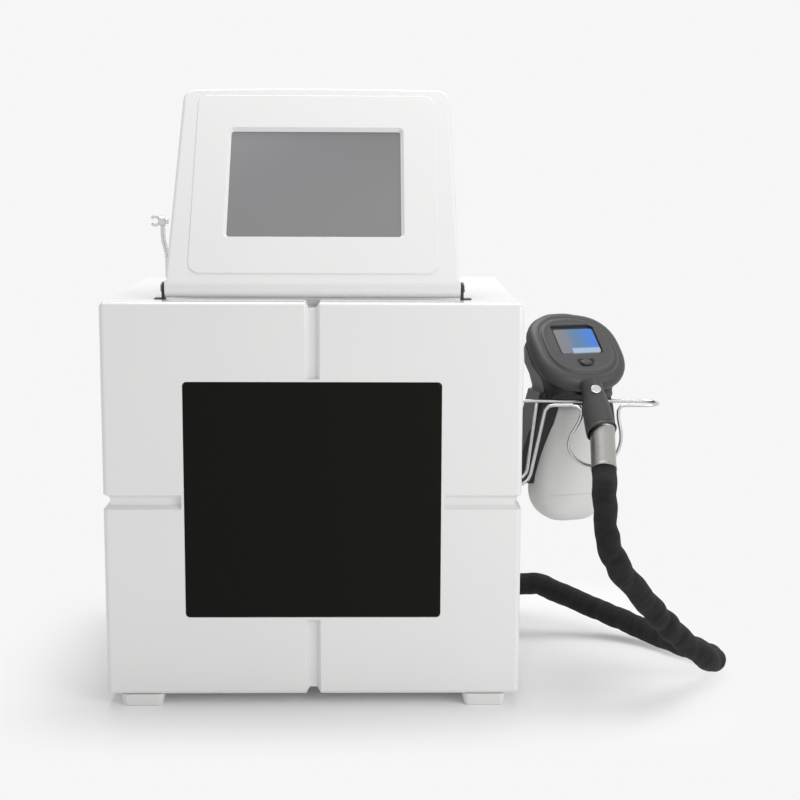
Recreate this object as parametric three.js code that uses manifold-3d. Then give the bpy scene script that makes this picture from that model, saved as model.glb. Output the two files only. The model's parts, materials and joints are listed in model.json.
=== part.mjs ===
// Cryolipolysis machine: a desk-top cooling and suction unit with a tilting touch-screen console,
// a cooled cup handpiece that hangs in a wire holder, and one fabric-covered hose.
// Millimetres, +X to the right of the front, +Y to the back, +Z up.
// The origin lies on the floor, under the middle of the machine's box.
import * as THREE from 'three';
import { mergeVertices } from 'three/addons/utils/BufferGeometryUtils.js';
import Module from 'manifold-3d';

const wasm = await Module();
wasm.setup();

// Clearances and cutters
const joinGap = 0.3;
const cutOverrun = 4;
const smallEdge = 0.8;
const weldTolerance = 0.001;

// Cabinet
const cabinetWidth = 500;
const cabinetHeight = 478;
const cabinetDepth = 430;
const sheet = 2;
const casingInset = 2;
const flangeWidth = 12;
const lidRim = 18;
const lidWall = 3;
const lidEdge = 3;
const lidCorner = 10;
const panRim = 20;

// Feet
const footHeight = 15;
const footWidth = 54;
const footTaper = 3;
const footCorner = 9;
const footInset = 15;
const footSetback = 1;

// Front cover and its window
const coverDepth = 42;
const coverWall = 3;
const coverEdge = 6;
const coverCorner = 8;
const grooveMouth = 18;
const grooveFloor = 9;
const grooveDepth = 7.5;
const windowWidth = 307;
const windowHeight = 287;
const windowRise = 255.5;
const windowCorner = 5;
const windowBevel = 3.5;
const windowLedge = 6;
const windowRecess = 1;
const windowThickness = 6;
const collarWall = 3;
const collarDepth = 13;

// Console that tilts on the lid
const consoleTilt = 37.5;
const consoleHeight = 297;
const consoleTopHalf = 170;
const consoleFootHalf = 176;
const consoleCorner = 17;
const consoleCrown = 4;
const consoleEdge = 5;
const barrelRadius = 12;
const barrelBore = 8;
const barrelEnd = 16;
const barrelClearance = 2;
const pivotSetback = 41.6;
const bezelDepth = 14;
const bezelWall = 3;
const backDepth = 30;
const backInset = 24;
const backFoot = 16;
const plateauWidth = 300;
const plateauHeight = 270;
const plateauCorner = 15;
const plateauRise = 1.2;
const screenWidth = 211.2;
const screenHeight = 158.4;
const screenRise = 147;
const screenCorner = 3;
const screenBevel = 4.5;
const glassLap = 5;
const glassThickness = 2;
const moduleLap = 8;
const moduleThickness = 7;
const consoleBoardWidth = 150;
const consoleBoardHeight = 96;
const boardThickness = 1.6;
const postHeight = 6;
const postRadius = 3;
const postInset = 8;
const chipSize = 20;
const chipThickness = 3;
const ventLength = 60;
const ventWidth = 4;
const ventPitch = 12;
const ventCount = 6;

// Hinge of the console
const earGap = 1;
const earThickness = 3;
const earRadius = 7;
const earBase = 16;
const earFoot = 10;
const pinRadius = 3;
const pinDepth = 8;
const pinHeadRadius = 5;
const pinHeadThickness = 1.4;

// Rear panel fittings
const rearPanel = 3;
const fanSize = 120;
const fanCorner = 8;
const fanDepth = 25;
const fanBore = 57;
const fanX = 70;
const fanRise = 118;
const hubRadius = 20;
const rotorRadius = 54;
const bladeCount = 7;
const bladeThickness = 2;
const bladePitch = 38;
const bladeChord = 20;
const spiderThickness = 4;
const spiderWidth = 6;
const rotorGap = 1;
const shaftRadius = 3;
const guardWire = 2;
const guardReach = 60;
const guardRadii = [18, 35, 52];
const inletX = -170;
const inletRise = 70;
const inletWidth = 50;
const inletHeight = 28;
const inletCorner = 3;
const inletLip = 4;
const inletFlange = 3;
const inletBodyDepth = 22;
const inletPocket = 16;
const inletWall = 4;
const contactWidth = 2;
const contactHeight = 4;
const contactReach = 12;
const contactPitch = 14;
const switchX = -170;
const switchRise = 118;
const switchWidth = 30;
const switchHeight = 22;
const switchBodyDepth = 20;
const switchWall = 3;
const rockerTilt = 6;
const rockerSlim = 1.4;
const rockerRadius = 15;
const rockerProud = 3;
const portX = -105;
const fillRise = 178;
const drainRise = 52;
const portRadius = 12;
const portBore = 8;
const portReach = 14;
const capRadius = 17;
const capLength = 18;
const capWall = 3;
const capGrips = 8;
const gripRadius = 2;

// Water, suction and power pieces inside
const tankWidth = 190;
const tankDepth = 150;
const tankHeight = 190;
const tankCorner = 14;
const tankWall = 3;
const tankStandOff = 32;
const shelfRise = 256;
const shelfFront = 60;
const shelfStandOff = 37;
const shelfFlange = 14;
const cableSlotWidth = 80;
const cableSlotDepth = 24;
const pumpX = -20;
const pumpStandOff = 55;
const pumpRadius = 27;
const pumpLength = 70;
const pumpHeadRadius = 34;
const pumpHeadLength = 22;
const pumpFoot = 60;
const pumpPortRadius = 7;
const pumpPortReach = 24;
const radiatorDepth = 36;
const radiatorSlots = 15;
const slotWidth = 4;
const radiatorFrame = 8;
const supplyWidth = 200;
const supplyDepth = 110;
const supplyHeight = 50;
const supplyInset = 26;
const supplyStandOff = 52;
const supplySlots = 9;
const supplyWall = 2;
const boardWidth = 170;
const boardDepth = 120;
const boardInset = 41;
const boardSetback = 130;
const vacuumX = 110;
const vacuumSetback = 290;
const vacuumRadius = 30;
const vacuumLength = 95;
const vacuumHead = 70;
const vacuumHeadDepth = 34;
const vacuumCorner = 8;
const vacuumFoot = 5;

// Side vents, hose gland and hose
const sideVentSetback = 330;
const sideVentRise = 340;
const glandSetback = 303;
const glandRise = 70;
const glandFlange = 27;
const glandFlangeThickness = 4;
const glandSleeve = 19;
const glandLength = 26;
const glandBore = 11;
const glandTail = 14;
const hoseRadius = 15;
const hoseSides = 10;
const hoseSteps = 52;
const hoseRoute = [[351.5, 6, 238], [354, 2, 211], [363, 4, 184], [378, 12, 160], [396, 23, 138],
  [414, 35, 115], [433, 48, 93], [455, 64, 69], [479, 81, 46], [499, 96, 30], [513, 115, 19.5],
  [518, 140, 16], [511, 166, 15.6], [495, 189, 15.6], [477, 210, 15.6], [455, 240, 17.5],
  [424, 268, 26], [388, 288, 37], [353, 299, 50], [324, 303, 62]];

// Wire holder on the right side
const rodRadius = 2.3;
const rodSides = 8;
const plateThickness = 3;
const plateTop = 374;
const plateBottom = 238;
const plateFront = 72;
const plateBack = 140;
const plateCorner = 8;
const screwRadius = 5;
const screwHeight = 2;
const screwInset = 10;
const barRise = 358;
const rearBarSetback = 122;
const frontBarSetback = 88;
const holderReach = 177.5;
const throatReach = 102;
const throatHalf = 33;
const throatLine = [[34, 0], [29.5, -0.4], [25.6, -3], [24, -9], [25, -20], [27.8, -33], [28, -46],
  [22.5, -62], [12, -72.5], [-2, -77], [-18, -74.5], [-31, -65], [-37, -51.5], [-34, -38],
  [-26, -24], [-21.6, -11], [-23, -4], [-28.5, -0.6], [-34, 0]];
const throatSteps = 32;
const armSteps = 20;
const elbowBend = 9;
const frontElbowReach = 36;
const rearElbowReach = 28;
const strutFootReach = 16;
const strutFootRise = 262;
const stubRise = 255;

// Handpiece
const handpieceReach = 83;
const handpieceSetback = 143;
const handpieceRise = 357;
const handpieceYaw = 18;
const podTilt = 50;
const podWidth = 121;
const podHeight = 123;
const podThickness = 24.5;
const podEdge = 11;
const podDrop = 8.5;
const podSeam = 6;
const podPower = 2.5;
const podSides = 30;
const podSetback = 7.4;
const podRise = 73.7;
const podWall = 4;
const facePlateShare = 0.76;
const facePlateRise = 1.2;
const topTabWidth = 36;
const topTabReach = 2;
const topTabThickness = 6;
const displayWidth = 54;
const displayHeight = 41;
const displayCorner = 3;
const displayRecess = 2.5;
const displayThickness = 1.6;
const buttonWidth = 16;
const buttonHeight = 9;
const buttonDrop = 37;
const buttonLength = 6;
const buttonProud = 2.6;
const buttonEdge = 1;
const bodyFront = -30;
const bodyBack = 70.5;
const bodyCorner = 26;
const bodyWall = 4;
const bodySweep = 150;
const bodyWaist = [[3.6, 44], [13, 42.5], [28, 47], [43, 54], [86, 56], [120, 56]];
const cheekLine = [[-110, 61], [-42, 61], [-12, 54], [9, 48]];
const cheekFront = 2;
const cheekBack = 56;
const cheekCorner = 8;
const cupDepth = 52;
const cupBase = -159;
const cupHalf = 51;
const cupWall = 4;
const cupLip = 38;
const cupShoulder = 30;
const cupShoulderRise = -3;
const cupFlare = 50;
const cupFlareRise = -95;
const cupFlankFoot = 9;
const cupEdge = 12;
const suctionBore = 5;
const coldLength = 27;
const coldTop = -30;
const coldBottom = -88;
const coldThickness = 3;
const neckDrop = 52;
const neckLength = 58;
const neckFootReach = 70;
const neckFootDrop = 25;
const neckRootRadius = 13.2;
const neckRimRadius = 17.3;
const neckRimLength = 5;
const spigotRadius = 10;
const spigotStart = 30;
const spigotEnd = 66;
const badgeWidth = 14;
const badgeHeight = 11;
const badgeThickness = 2.4;
const badgeSeat = 12;
const badgeRise = 44;
const ferruleDrop = 48.5;
const ferruleSwing = 21.5;
const ferruleRadius = 15.5;
const ferruleLength = 61;
const ferruleTail = 9;
const ferruleTailRadius = 13;
const ferruleBead = 0.6;
const ferruleBeadLength = 3;
const ferruleBore = 11;

// Hose hanger behind the left corner
const hangerInset = 25;
const socketHalf = 10;
const socketHeight = 30;
const socketTop = 466;
const socketFoot = 8;
const socketCorner = 4;
const hangerRodRadius = 3.4;
const hangerKnee = 520;
const hangerTop = 558;
const hangerLean = 6;
const hangerSteps = 14;
const clipRise = 568.8;
const clipRadius = 7.4;
const clipLength = 9;
const clipBore = 2.5;
const clipTipRadius = 4.5;
const clipTipLength = 4;
const ringRadius = 6.2;
const ringWire = 2.2;
const ringOpening = 70;

// Places worked out from the sizes above
const casingHalf = cabinetWidth / 2 - casingInset;
const casingInner = casingHalf - sheet;
const topRise = footHeight + cabinetHeight;
const lidTop = topRise - casingInset;
const lidBase = lidTop - lidRim;
const rearPlane = cabinetDepth - rearPanel;
const panTop = footHeight + sheet;
const shelfTop = shelfRise + sheet;
const midRise = footHeight + cabinetHeight / 2;
const pivotRise = topRise + barrelClearance + barrelRadius;
const fanFront = rearPlane - fanDepth;
const tankBack = rearPlane - tankStandOff;
const tankTop = panTop + tankHeight;
const glandFace = casingHalf + glandLength;
const plateFace = casingHalf + plateThickness;
const shelfBack = rearPlane - shelfStandOff;
const pumpSetback = tankBack - tankDepth - pumpStandOff;
const supplyX = supplyInset + supplyWidth / 2 - casingInner;
const supplySetback = rearPlane - supplyStandOff - supplyDepth / 2;
const boardX = casingInner - boardInset - boardWidth / 2;
const holderEnd = plateFace + holderReach;
const throatX = plateFace + throatReach;
const frontElbowX = plateFace + frontElbowReach;
const rearElbowX = plateFace + rearElbowReach;
const strutFootX = plateFace + strutFootReach;
const handpieceX = plateFace + handpieceReach;
const hangerX = hangerInset - casingHalf;
const clipX = hangerX - hangerLean;
const hangerSetback = cabinetDepth + socketHalf;

const xAxis = new THREE.Vector3(1, 0, 0);
const yAxis = new THREE.Vector3(0, 1, 0);
const zAxis = new THREE.Vector3(0, 0, 1);
const left = new THREE.Vector3(-1, 0, 0);
const down = new THREE.Vector3(0, 0, -1);

const at = (x, y, z) => new THREE.Vector3(x, y, z);
const radians = (angle) => THREE.MathUtils.degToRad(angle);

// Solids from three.js geometry, and back
function solidOf(geometry) {
  geometry.deleteAttribute('normal');
  geometry.deleteAttribute('uv');
  const merged = mergeVertices(geometry, weldTolerance);
  return new wasm.Manifold(new wasm.Mesh({
    numProp: 3,
    vertProperties: new Float32Array(merged.attributes.position.array),
    triVerts: new Uint32Array(merged.index.array),
  }));
}

function piece(name, solid, material) {
  const { vertProperties, triVerts } = solid.getMesh();
  const geometry = new THREE.BufferGeometry();
  geometry.setAttribute('position', new THREE.BufferAttribute(vertProperties, 3));
  geometry.setIndex(new THREE.BufferAttribute(triVerts, 1));
  geometry.computeVertexNormals();
  const mesh = new THREE.Mesh(geometry, material);
  mesh.name = name;
  return mesh;
}

const join = (first, ...rest) => rest.reduce((sum, next) => sum.add(next), first);
const cut = (body, ...tools) => tools.reduce((rest, tool) => rest.subtract(tool), body);

// A box between two corners
function block(x0, x1, y0, y1, z0, z1) {
  const geometry = new THREE.BoxGeometry(x1 - x0, y1 - y0, z1 - z0);
  geometry.translate((x0 + x1) / 2, (y0 + y1) / 2, (z0 + z1) / 2);
  return solidOf(geometry);
}

function basisAt(across, rise, place) {
  const run = new THREE.Vector3().crossVectors(across, rise);
  return new THREE.Matrix4().makeBasis(across, rise, run).setPosition(place);
}

// A flat shape pushed along the direction that stands square to both of its own axes
function prism(shape, length, place, across, rise, curveSegments = 2) {
  const geometry = new THREE.ExtrudeGeometry(shape, { depth: length, bevelEnabled: false, curveSegments });
  geometry.applyMatrix4(basisAt(across, rise, place));
  return solidOf(geometry);
}

const alongX = (shape, x0, x1, segments) => prism(shape, x1 - x0, at(x0, 0, 0), yAxis, zAxis, segments);
const alongY = (shape, y0, y1, segments) => prism(shape, y1 - y0, at(0, y1, 0), xAxis, zAxis, segments);
const alongZ = (shape, z0, z1, segments) => prism(shape, z1 - z0, at(0, 0, z0), xAxis, yAxis, segments);

// A plate with both edges rounded, laid the same way
function softPlate(shape, thickness, edge, place, across, rise, bevelSegments = 3, curveSegments = 2) {
  const geometry = new THREE.ExtrudeGeometry(shape, {
    depth: thickness - 2 * edge,
    bevelThickness: edge,
    bevelSize: edge,
    bevelOffset: -edge,
    bevelSegments,
    curveSegments,
  });
  geometry.translate(0, 0, edge);
  geometry.applyMatrix4(basisAt(across, rise, place));
  return solidOf(geometry);
}

function roundedRectangle(x0, x1, y0, y1, radius) {
  const shape = new THREE.Shape();
  shape.moveTo(x0 + radius, y0);
  shape.lineTo(x1 - radius, y0);
  shape.absarc(x1 - radius, y0 + radius, radius, -Math.PI / 2, 0);
  shape.lineTo(x1, y1 - radius);
  shape.absarc(x1 - radius, y1 - radius, radius, 0, Math.PI / 2);
  shape.lineTo(x0 + radius, y1);
  shape.absarc(x0 + radius, y1 - radius, radius, Math.PI / 2, Math.PI);
  shape.lineTo(x0, y0 + radius);
  shape.absarc(x0 + radius, y0 + radius, radius, Math.PI, 1.5 * Math.PI);
  return shape;
}

const middled = (width, height, radius, x = 0, y = 0) => roundedRectangle(
  x - width / 2, x + width / 2, y - height / 2, y + height / 2, radius);

function polygon(points) {
  return new THREE.Shape(points.map(([x, y]) => new THREE.Vector2(x, y)));
}

// A turned piece: [radius, distance] pairs, spun round a line that starts at place
function turned(profile, place, direction, sides = 20) {
  const geometry = new THREE.LatheGeometry(profile.map(([r, s]) => new THREE.Vector2(r, s)), sides);
  geometry.applyQuaternion(new THREE.Quaternion().setFromUnitVectors(yAxis, direction));
  geometry.translate(place.x, place.y, place.z);
  return solidOf(geometry);
}

function cylinder(radius, place, direction, length, sides = 20) {
  return turned([[0, 0], [radius, 0], [radius, length], [0, length]], place, direction, sides);
}

function tube(radius, bore, place, direction, length, sides = 20) {
  const wall = [[bore, 0], [radius, 0], [radius, length], [bore, length], [bore, 0]];
  return turned(wall, place, direction, sides);
}

// A round rod along a path
function rod(path, radius, sides, steps) {
  const section = polygon(Array.from({ length: sides }, (_, i) => {
    const angle = (2 * Math.PI * i) / sides;
    return [radius * Math.cos(angle), radius * Math.sin(angle)];
  }));
  return solidOf(new THREE.ExtrudeGeometry(section, { steps, extrudePath: path, bevelEnabled: false }));
}

// Straight runs between places, with each corner rounded off
function bentPath(places, bend) {
  const path = new THREE.CurvePath();
  let from = places[0];
  for (let i = 1; i + 1 < places.length; i += 1) {
    const corner = places[i];
    const into = places[i - 1].clone().sub(corner).normalize().multiplyScalar(bend).add(corner);
    const out = places[i + 1].clone().sub(corner).normalize().multiplyScalar(bend).add(corner);
    path.add(new THREE.LineCurve3(from, into));
    path.add(new THREE.QuadraticBezierCurve3(into, corner, out));
    from = out;
  }
  path.add(new THREE.LineCurve3(from, places[places.length - 1]));
  return path;
}

// A skin through rings of equally many places, capped at both ends
function loft(rings) {
  const count = rings[0].length;
  const index = [];
  for (let level = 0; level + 1 < rings.length; level += 1) {
    for (let i = 0; i < count; i += 1) {
      const a = level * count + i;
      const b = level * count + ((i + 1) % count);
      index.push(a, b, b + count, a, b + count, a + count);
    }
  }
  const top = (rings.length - 1) * count;
  for (let i = 1; i + 1 < count; i += 1) {
    index.push(0, i + 1, i, top, top + i, top + i + 1);
  }
  const geometry = new THREE.BufferGeometry();
  geometry.setAttribute('position', new THREE.Float32BufferAttribute(
    rings.flat().flatMap((place) => [place.x, place.y, place.z]), 3));
  geometry.setIndex(index);
  return solidOf(geometry);
}

// A level ring with round corners
function ring(x0, x1, y0, y1, radius, z, steps = 4) {
  const corners = [[x1 - radius, y0 + radius, -90], [x1 - radius, y1 - radius, 0],
    [x0 + radius, y1 - radius, 90], [x0 + radius, y0 + radius, 180]];
  return corners.flatMap(([cx, cy, start]) => Array.from({ length: steps + 1 }, (_, i) => {
    const angle = radians(start + (90 * i) / steps);
    return at(cx + radius * Math.cos(angle), cy + radius * Math.sin(angle), z);
  }));
}

function finish(color, roughness, metalness) {
  return new THREE.MeshStandardMaterial({ color, roughness, metalness });
}

const whiteGloss = finish(0xeeeeec, 0.15, 0);
const whitePaint = finish(0xe6e6e4, 0.35, 0);
const blackAcrylic = finish(0x1c1d1a, 0.06, 0);
const blackPlastic = finish(0x26262a, 0.5, 0);
const softGrey = finish(0x45474a, 0.6, 0);
const greyGlass = finish(0x8e8e90, 0.1, 0);
const blueGlass = finish(0x3c78b4, 0.1, 0);
const frosted = finish(0xc8c8c6, 0.4, 0);
const chrome = finish(0xd0d0d0, 0.1, 1);
const brushedSteel = finish(0xa8a6a0, 0.3, 1);
const aluminium = finish(0xb8babc, 0.35, 1);
const blackFabric = finish(0x2a2a2a, 0.85, 0);
const greenBoard = finish(0x1f5a3a, 0.5, 0);
const natural = finish(0xdcdcd2, 0.4, 0);

// Front cover: four soft tiles parted by grooves that run on round the edges
function grooves(grow, depth) {
  const slope = (grooveMouth - grooveFloor) / 2 / grooveDepth;
  const mouth = grooveMouth / 2 + slope * cutOverrun + grow;
  const floor = grooveFloor / 2 + grow;
  const shape = polygon([[-mouth, -cutOverrun], [mouth, -cutOverrun], [floor, depth], [-floor, depth]]);
  const half = cabinetWidth / 2;
  const high = cabinetHeight + 2 * cutOverrun;
  const wide = cabinetWidth + 2 * cutOverrun;
  const deep = coverDepth + 2 * cutOverrun;
  return [
    prism(shape, high, at(0, 0, footHeight - cutOverrun), xAxis, yAxis),
    prism(shape, wide, at(half + cutOverrun, 0, midRise), zAxis, yAxis),
    prism(shape, deep, at(0, -cutOverrun, topRise), xAxis, down),
    prism(shape, deep, at(0, coverDepth + cutOverrun, footHeight), xAxis, zAxis),
    prism(shape, deep, at(-half, -cutOverrun, midRise), zAxis, xAxis),
    prism(shape, deep, at(half, coverDepth + cutOverrun, midRise), zAxis, left),
  ];
}

const windowShape = (grow) => middled(
  windowWidth + 2 * grow, windowHeight + 2 * grow, windowCorner + grow, 0, windowRise);

function frontCover() {
  const half = cabinetWidth / 2;
  const outline = roundedRectangle(-half, half, footHeight, topRise, coverCorner);
  const deep = coverDepth + 2 * coverEdge;
  const tray = softPlate(outline, deep, coverEdge, at(0, deep, 0), xAxis, zAxis);
  const back = block(-half - cutOverrun, half + cutOverrun, coverDepth, deep + cutOverrun,
    0, topRise + cutOverrun);
  const inner = half - coverWall;
  const room = alongY(roundedRectangle(-inner, inner, footHeight + coverWall, topRise - coverWall,
    coverCorner - coverWall), coverWall, coverDepth + cutOverrun);
  const hollow = cut(room, ...grooves(coverWall, grooveDepth + coverWall));
  const collar = alongY(windowShape(collarWall), 0, collarDepth);
  const seat = alongY(windowShape(0), -cutOverrun, windowRecess + windowThickness);
  const opening = alongY(middled(windowWidth - 2 * windowLedge, windowHeight - 2 * windowLedge,
    windowCorner, 0, windowRise), -cutOverrun, collarDepth + cutOverrun);
  return cut(join(cut(tray, back, hollow, ...grooves(0, grooveDepth)), collar), seat, opening);
}

function windowPanel() {
  const back = windowRecess + windowThickness;
  const plate = softPlate(windowShape(-joinGap), windowThickness + 2 * windowBevel, windowBevel,
    at(0, back + 2 * windowBevel, 0), xAxis, zAxis, 2);
  return cut(plate, block(-windowWidth, windowWidth, back, back + cutOverrun + 2 * windowBevel, 0, topRise));
}

// Casing behind the front cover
function vents(count) {
  return Array.from({ length: count }, (_, i) => (i - (count - 1) / 2) * ventPitch);
}

function sidePanel(side, ...holes) {
  const sorted = (near, far) => (side > 0 ? [near, far] : [-far, -near]);
  const skin = block(...sorted(casingInner, casingHalf), coverDepth, rearPlane, footHeight, lidBase);
  const flange = (y0) => block(...sorted(casingInner - flangeWidth, casingInner), y0, y0 + sheet,
    footHeight, lidBase);
  const slots = vents(ventCount).map((rise) => block(
    ...sorted(casingInner - cutOverrun, casingHalf + cutOverrun),
    sideVentSetback - ventLength / 2, sideVentSetback + ventLength / 2,
    sideVentRise + rise - ventWidth / 2, sideVentRise + rise + ventWidth / 2));
  return cut(join(skin, flange(coverDepth), flange(rearPlane - sheet)), ...slots, ...holes);
}

function topCover() {
  const high = lidRim + 2 * lidEdge;
  const outline = roundedRectangle(-casingHalf, casingHalf,
    coverDepth - 2 * lidCorner, cabinetDepth, lidCorner);
  const slab = softPlate(outline, high, lidEdge, at(0, 0, lidTop - high), xAxis, yAxis);
  const ahead = block(-cabinetWidth, cabinetWidth, -cutOverrun, coverDepth, 0, topRise);
  const below = block(-cabinetWidth, cabinetWidth, 0, cabinetDepth + cutOverrun, 0, lidBase);
  const inner = casingHalf - lidWall;
  const room = alongZ(roundedRectangle(-inner, inner, coverDepth + lidWall, cabinetDepth - lidWall,
    lidCorner - lidWall), lidBase - cutOverrun, lidTop - lidWall);
  return cut(slab, ahead, below, room);
}

function basePan() {
  const front = coverDepth + sheet;
  const back = rearPlane - sheet;
  const tray = block(-casingInner, casingInner, front, back, footHeight, footHeight + panRim);
  const room = block(-casingInner + sheet, casingInner - sheet, front + sheet, back - sheet,
    panTop, footHeight + panRim + cutOverrun);
  const slots = vents(ventCount).map((shift) => block(
    fanX + shift - ventWidth / 2, fanX + shift + ventWidth / 2,
    pumpSetback - ventLength, pumpSetback, 0, panTop + cutOverrun));
  return cut(tray, room, ...slots);
}

function rearCover() {
  const skin = block(-casingHalf, casingHalf, rearPlane, cabinetDepth, footHeight, lidBase);
  const through = (shape) => alongY(shape, rearPlane - cutOverrun, cabinetDepth + cutOverrun, 1);
  const round = (x, z, radius) => cylinder(radius, at(x, rearPlane - cutOverrun, z), yAxis,
    rearPanel + 2 * cutOverrun);
  const slots = vents(ventCount).map((rise) => block(fanX - ventLength, fanX + ventLength,
    rearPlane - cutOverrun, cabinetDepth + cutOverrun,
    sideVentRise + rise - ventWidth / 2, sideVentRise + rise + ventWidth / 2));
  return cut(skin,
    round(fanX, fanRise, fanBore),
    through(middled(inletWidth + 2 * joinGap, inletHeight + 2 * joinGap, inletCorner, inletX, inletRise)),
    through(middled(switchWidth + 2 * joinGap, switchHeight + 2 * joinGap, inletCorner, switchX, switchRise)),
    round(portX, fillRise, portRadius + joinGap),
    round(portX, drainRise, portRadius + joinGap),
    ...slots);
}

function foot(x, y) {
  const half = footWidth / 2;
  const low = half - footTaper;
  return loft([
    ring(x - low, x + low, y - low, y + low, footCorner - footTaper, 0),
    ring(x - half, x + half, y - half, y + half, footCorner, footHeight),
  ]);
}

function equipmentShelf() {
  const top = block(-casingInner, casingInner, shelfFront, shelfBack, shelfRise, shelfTop);
  const flange = (x0, x1) => block(x0, x1, shelfFront, shelfBack, shelfRise - shelfFlange, shelfRise);
  const slot = (x) => alongZ(middled(cableSlotWidth, cableSlotDepth, cableSlotDepth / 3, x,
    shelfFront + cableSlotDepth), shelfRise - cutOverrun, shelfTop + cutOverrun);
  return cut(join(top, flange(-casingInner, sheet - casingInner), flange(casingInner - sheet, casingInner)),
    slot(-cableSlotWidth), slot(cableSlotWidth));
}

// Console: drawn upright round its hinge line, then leaned back as one group
function consoleOutline(grow, foot) {
  const top = consoleHeight + grow;
  const half = consoleTopHalf + grow;
  const wide = consoleFootHalf + grow;
  const corner = consoleCorner + grow;
  const shoulder = top - consoleCrown;
  const shape = new THREE.Shape();
  shape.moveTo(-wide, foot);
  shape.lineTo(wide, foot);
  shape.lineTo(half, shoulder - corner);
  shape.quadraticCurveTo(half, shoulder, half - corner, shoulder + consoleCrown / 3);
  shape.quadraticCurveTo(0, top + consoleCrown / 3, corner - half, shoulder + consoleCrown / 3);
  shape.quadraticCurveTo(-half, shoulder, -half, shoulder - corner);
  return shape;
}

const screenShape = (grow) => middled(
  screenWidth + 2 * grow, screenHeight + 2 * grow, screenCorner + grow, 0, screenRise);

function consoleBezel() {
  const front = -barrelRadius;
  const back = front + bezelDepth;
  const face = front - plateauRise;
  const inside = front + bezelWall;
  const deep = bezelDepth + 2 * consoleEdge;
  const slab = softPlate(consoleOutline(0, -consoleEdge), deep, consoleEdge,
    at(0, front + deep, 0), xAxis, zAxis, 3, 6);
  const behind = block(-cabinetWidth, cabinetWidth, back, front + deep + cutOverrun, -barrelRadius,
    consoleHeight + cutOverrun);
  const under = block(-cabinetWidth, cabinetWidth, -2 * barrelRadius, 2 * barrelRadius, -2 * barrelRadius, 0);
  const barrel = cylinder(barrelRadius, at(-consoleFootHalf, 0, 0), xAxis, 2 * consoleFootHalf);
  const plateauDeep = bezelWall + plateauRise;
  const plateau = softPlate(middled(plateauWidth, plateauHeight, plateauCorner, 0, screenRise),
    plateauDeep, plateauRise, at(0, inside, 0), xAxis, zAxis, 2, 3);
  const room = alongY(consoleOutline(-bezelWall, barrelRadius), inside, back + cutOverrun, 6);
  const channel = cylinder(barrelBore, at(barrelEnd - consoleFootHalf, 0, 0), xAxis,
    2 * (consoleFootHalf - barrelEnd));
  const inner = consoleTopHalf - barrelEnd;
  const slot = block(-inner, inner, -bezelWall, bezelWall, 0, barrelRadius + cutOverrun);
  const bores = [left, xAxis].map((side) => cylinder(pinRadius + joinGap,
    side.clone().multiplyScalar(consoleFootHalf - pinDepth - joinGap), side, pinDepth + cutOverrun));
  const funnel = new THREE.ExtrudeGeometry(screenShape(0), {
    depth: cutOverrun,
    bevelThickness: plateauDeep + joinGap,
    bevelSize: screenBevel,
    bevelSegments: 1,
    curveSegments: 3,
  });
  funnel.applyMatrix4(basisAt(xAxis, zAxis, at(0, face, 0)));
  const opening = alongY(screenShape(0), face - cutOverrun, inside + cutOverrun);
  return cut(join(cut(slab, behind, under), barrel, plateau),
    room, channel, slot, ...bores, solidOf(funnel), opening);
}

function consoleBack() {
  const seam = bezelDepth - barrelRadius + joinGap;
  const rim = (grow, foot, y) => consoleOutline(grow, foot).getSpacedPoints(podSides)
    .slice(0, podSides).map((point) => at(point.x, y, point.y)).reverse();
  const shell = (grow, near) => loft([
    rim(grow, backFoot - grow, near),
    rim(grow - backInset / 4, backFoot + backInset / 4 - grow, seam + backDepth / 2),
    rim(grow - backInset, backFoot + backInset - grow, seam + backDepth + grow),
  ]);
  const slots = vents(ventCount).map((rise) => block(-ventLength, ventLength, seam + backDepth / 2,
    seam + backDepth + cutOverrun, screenRise + rise - ventWidth / 2, screenRise + rise + ventWidth / 2));
  return cut(shell(0, seam), shell(-bezelWall, seam - cutOverrun), ...slots);
}

function touchScreen() {
  const near = bezelWall + joinGap - barrelRadius;
  return alongY(screenShape(glassLap), near, near + glassThickness);
}

function lcdModule() {
  const near = bezelWall + 2 * joinGap + glassThickness - barrelRadius;
  const frame = alongY(middled(screenWidth + 2 * moduleLap, screenHeight + 2 * moduleLap, screenCorner,
    0, screenRise), near, near + moduleThickness);
  const panel = alongY(middled(consoleBoardWidth, consoleBoardHeight / 3, screenCorner, 0, screenRise),
    near + moduleThickness - sheet, near + moduleThickness + cutOverrun);
  return cut(frame, panel);
}

function consoleBoard() {
  const near = bezelWall + 3 * joinGap + glassThickness + moduleThickness - barrelRadius;
  const half = consoleBoardWidth / 2;
  const high = consoleBoardHeight / 2;
  const plate = block(-half, half, near + postHeight, near + postHeight + boardThickness,
    screenRise - high, screenRise + high);
  const posts = [[-1, -1], [1, -1], [-1, 1], [1, 1]].map(([sx, sz]) => cylinder(postRadius,
    at(sx * (half - postInset), near, screenRise + sz * (high - postInset)), yAxis, postHeight + sheet, 12));
  const chips = [-1, 1].map((side) => block(side * half / 2 - chipSize / 2, side * half / 2 + chipSize / 2,
    near + postHeight, near + postHeight + boardThickness + chipThickness,
    screenRise - chipSize / 2, screenRise + chipSize / 2));
  return join(plate, ...posts, ...chips);
}

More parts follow.
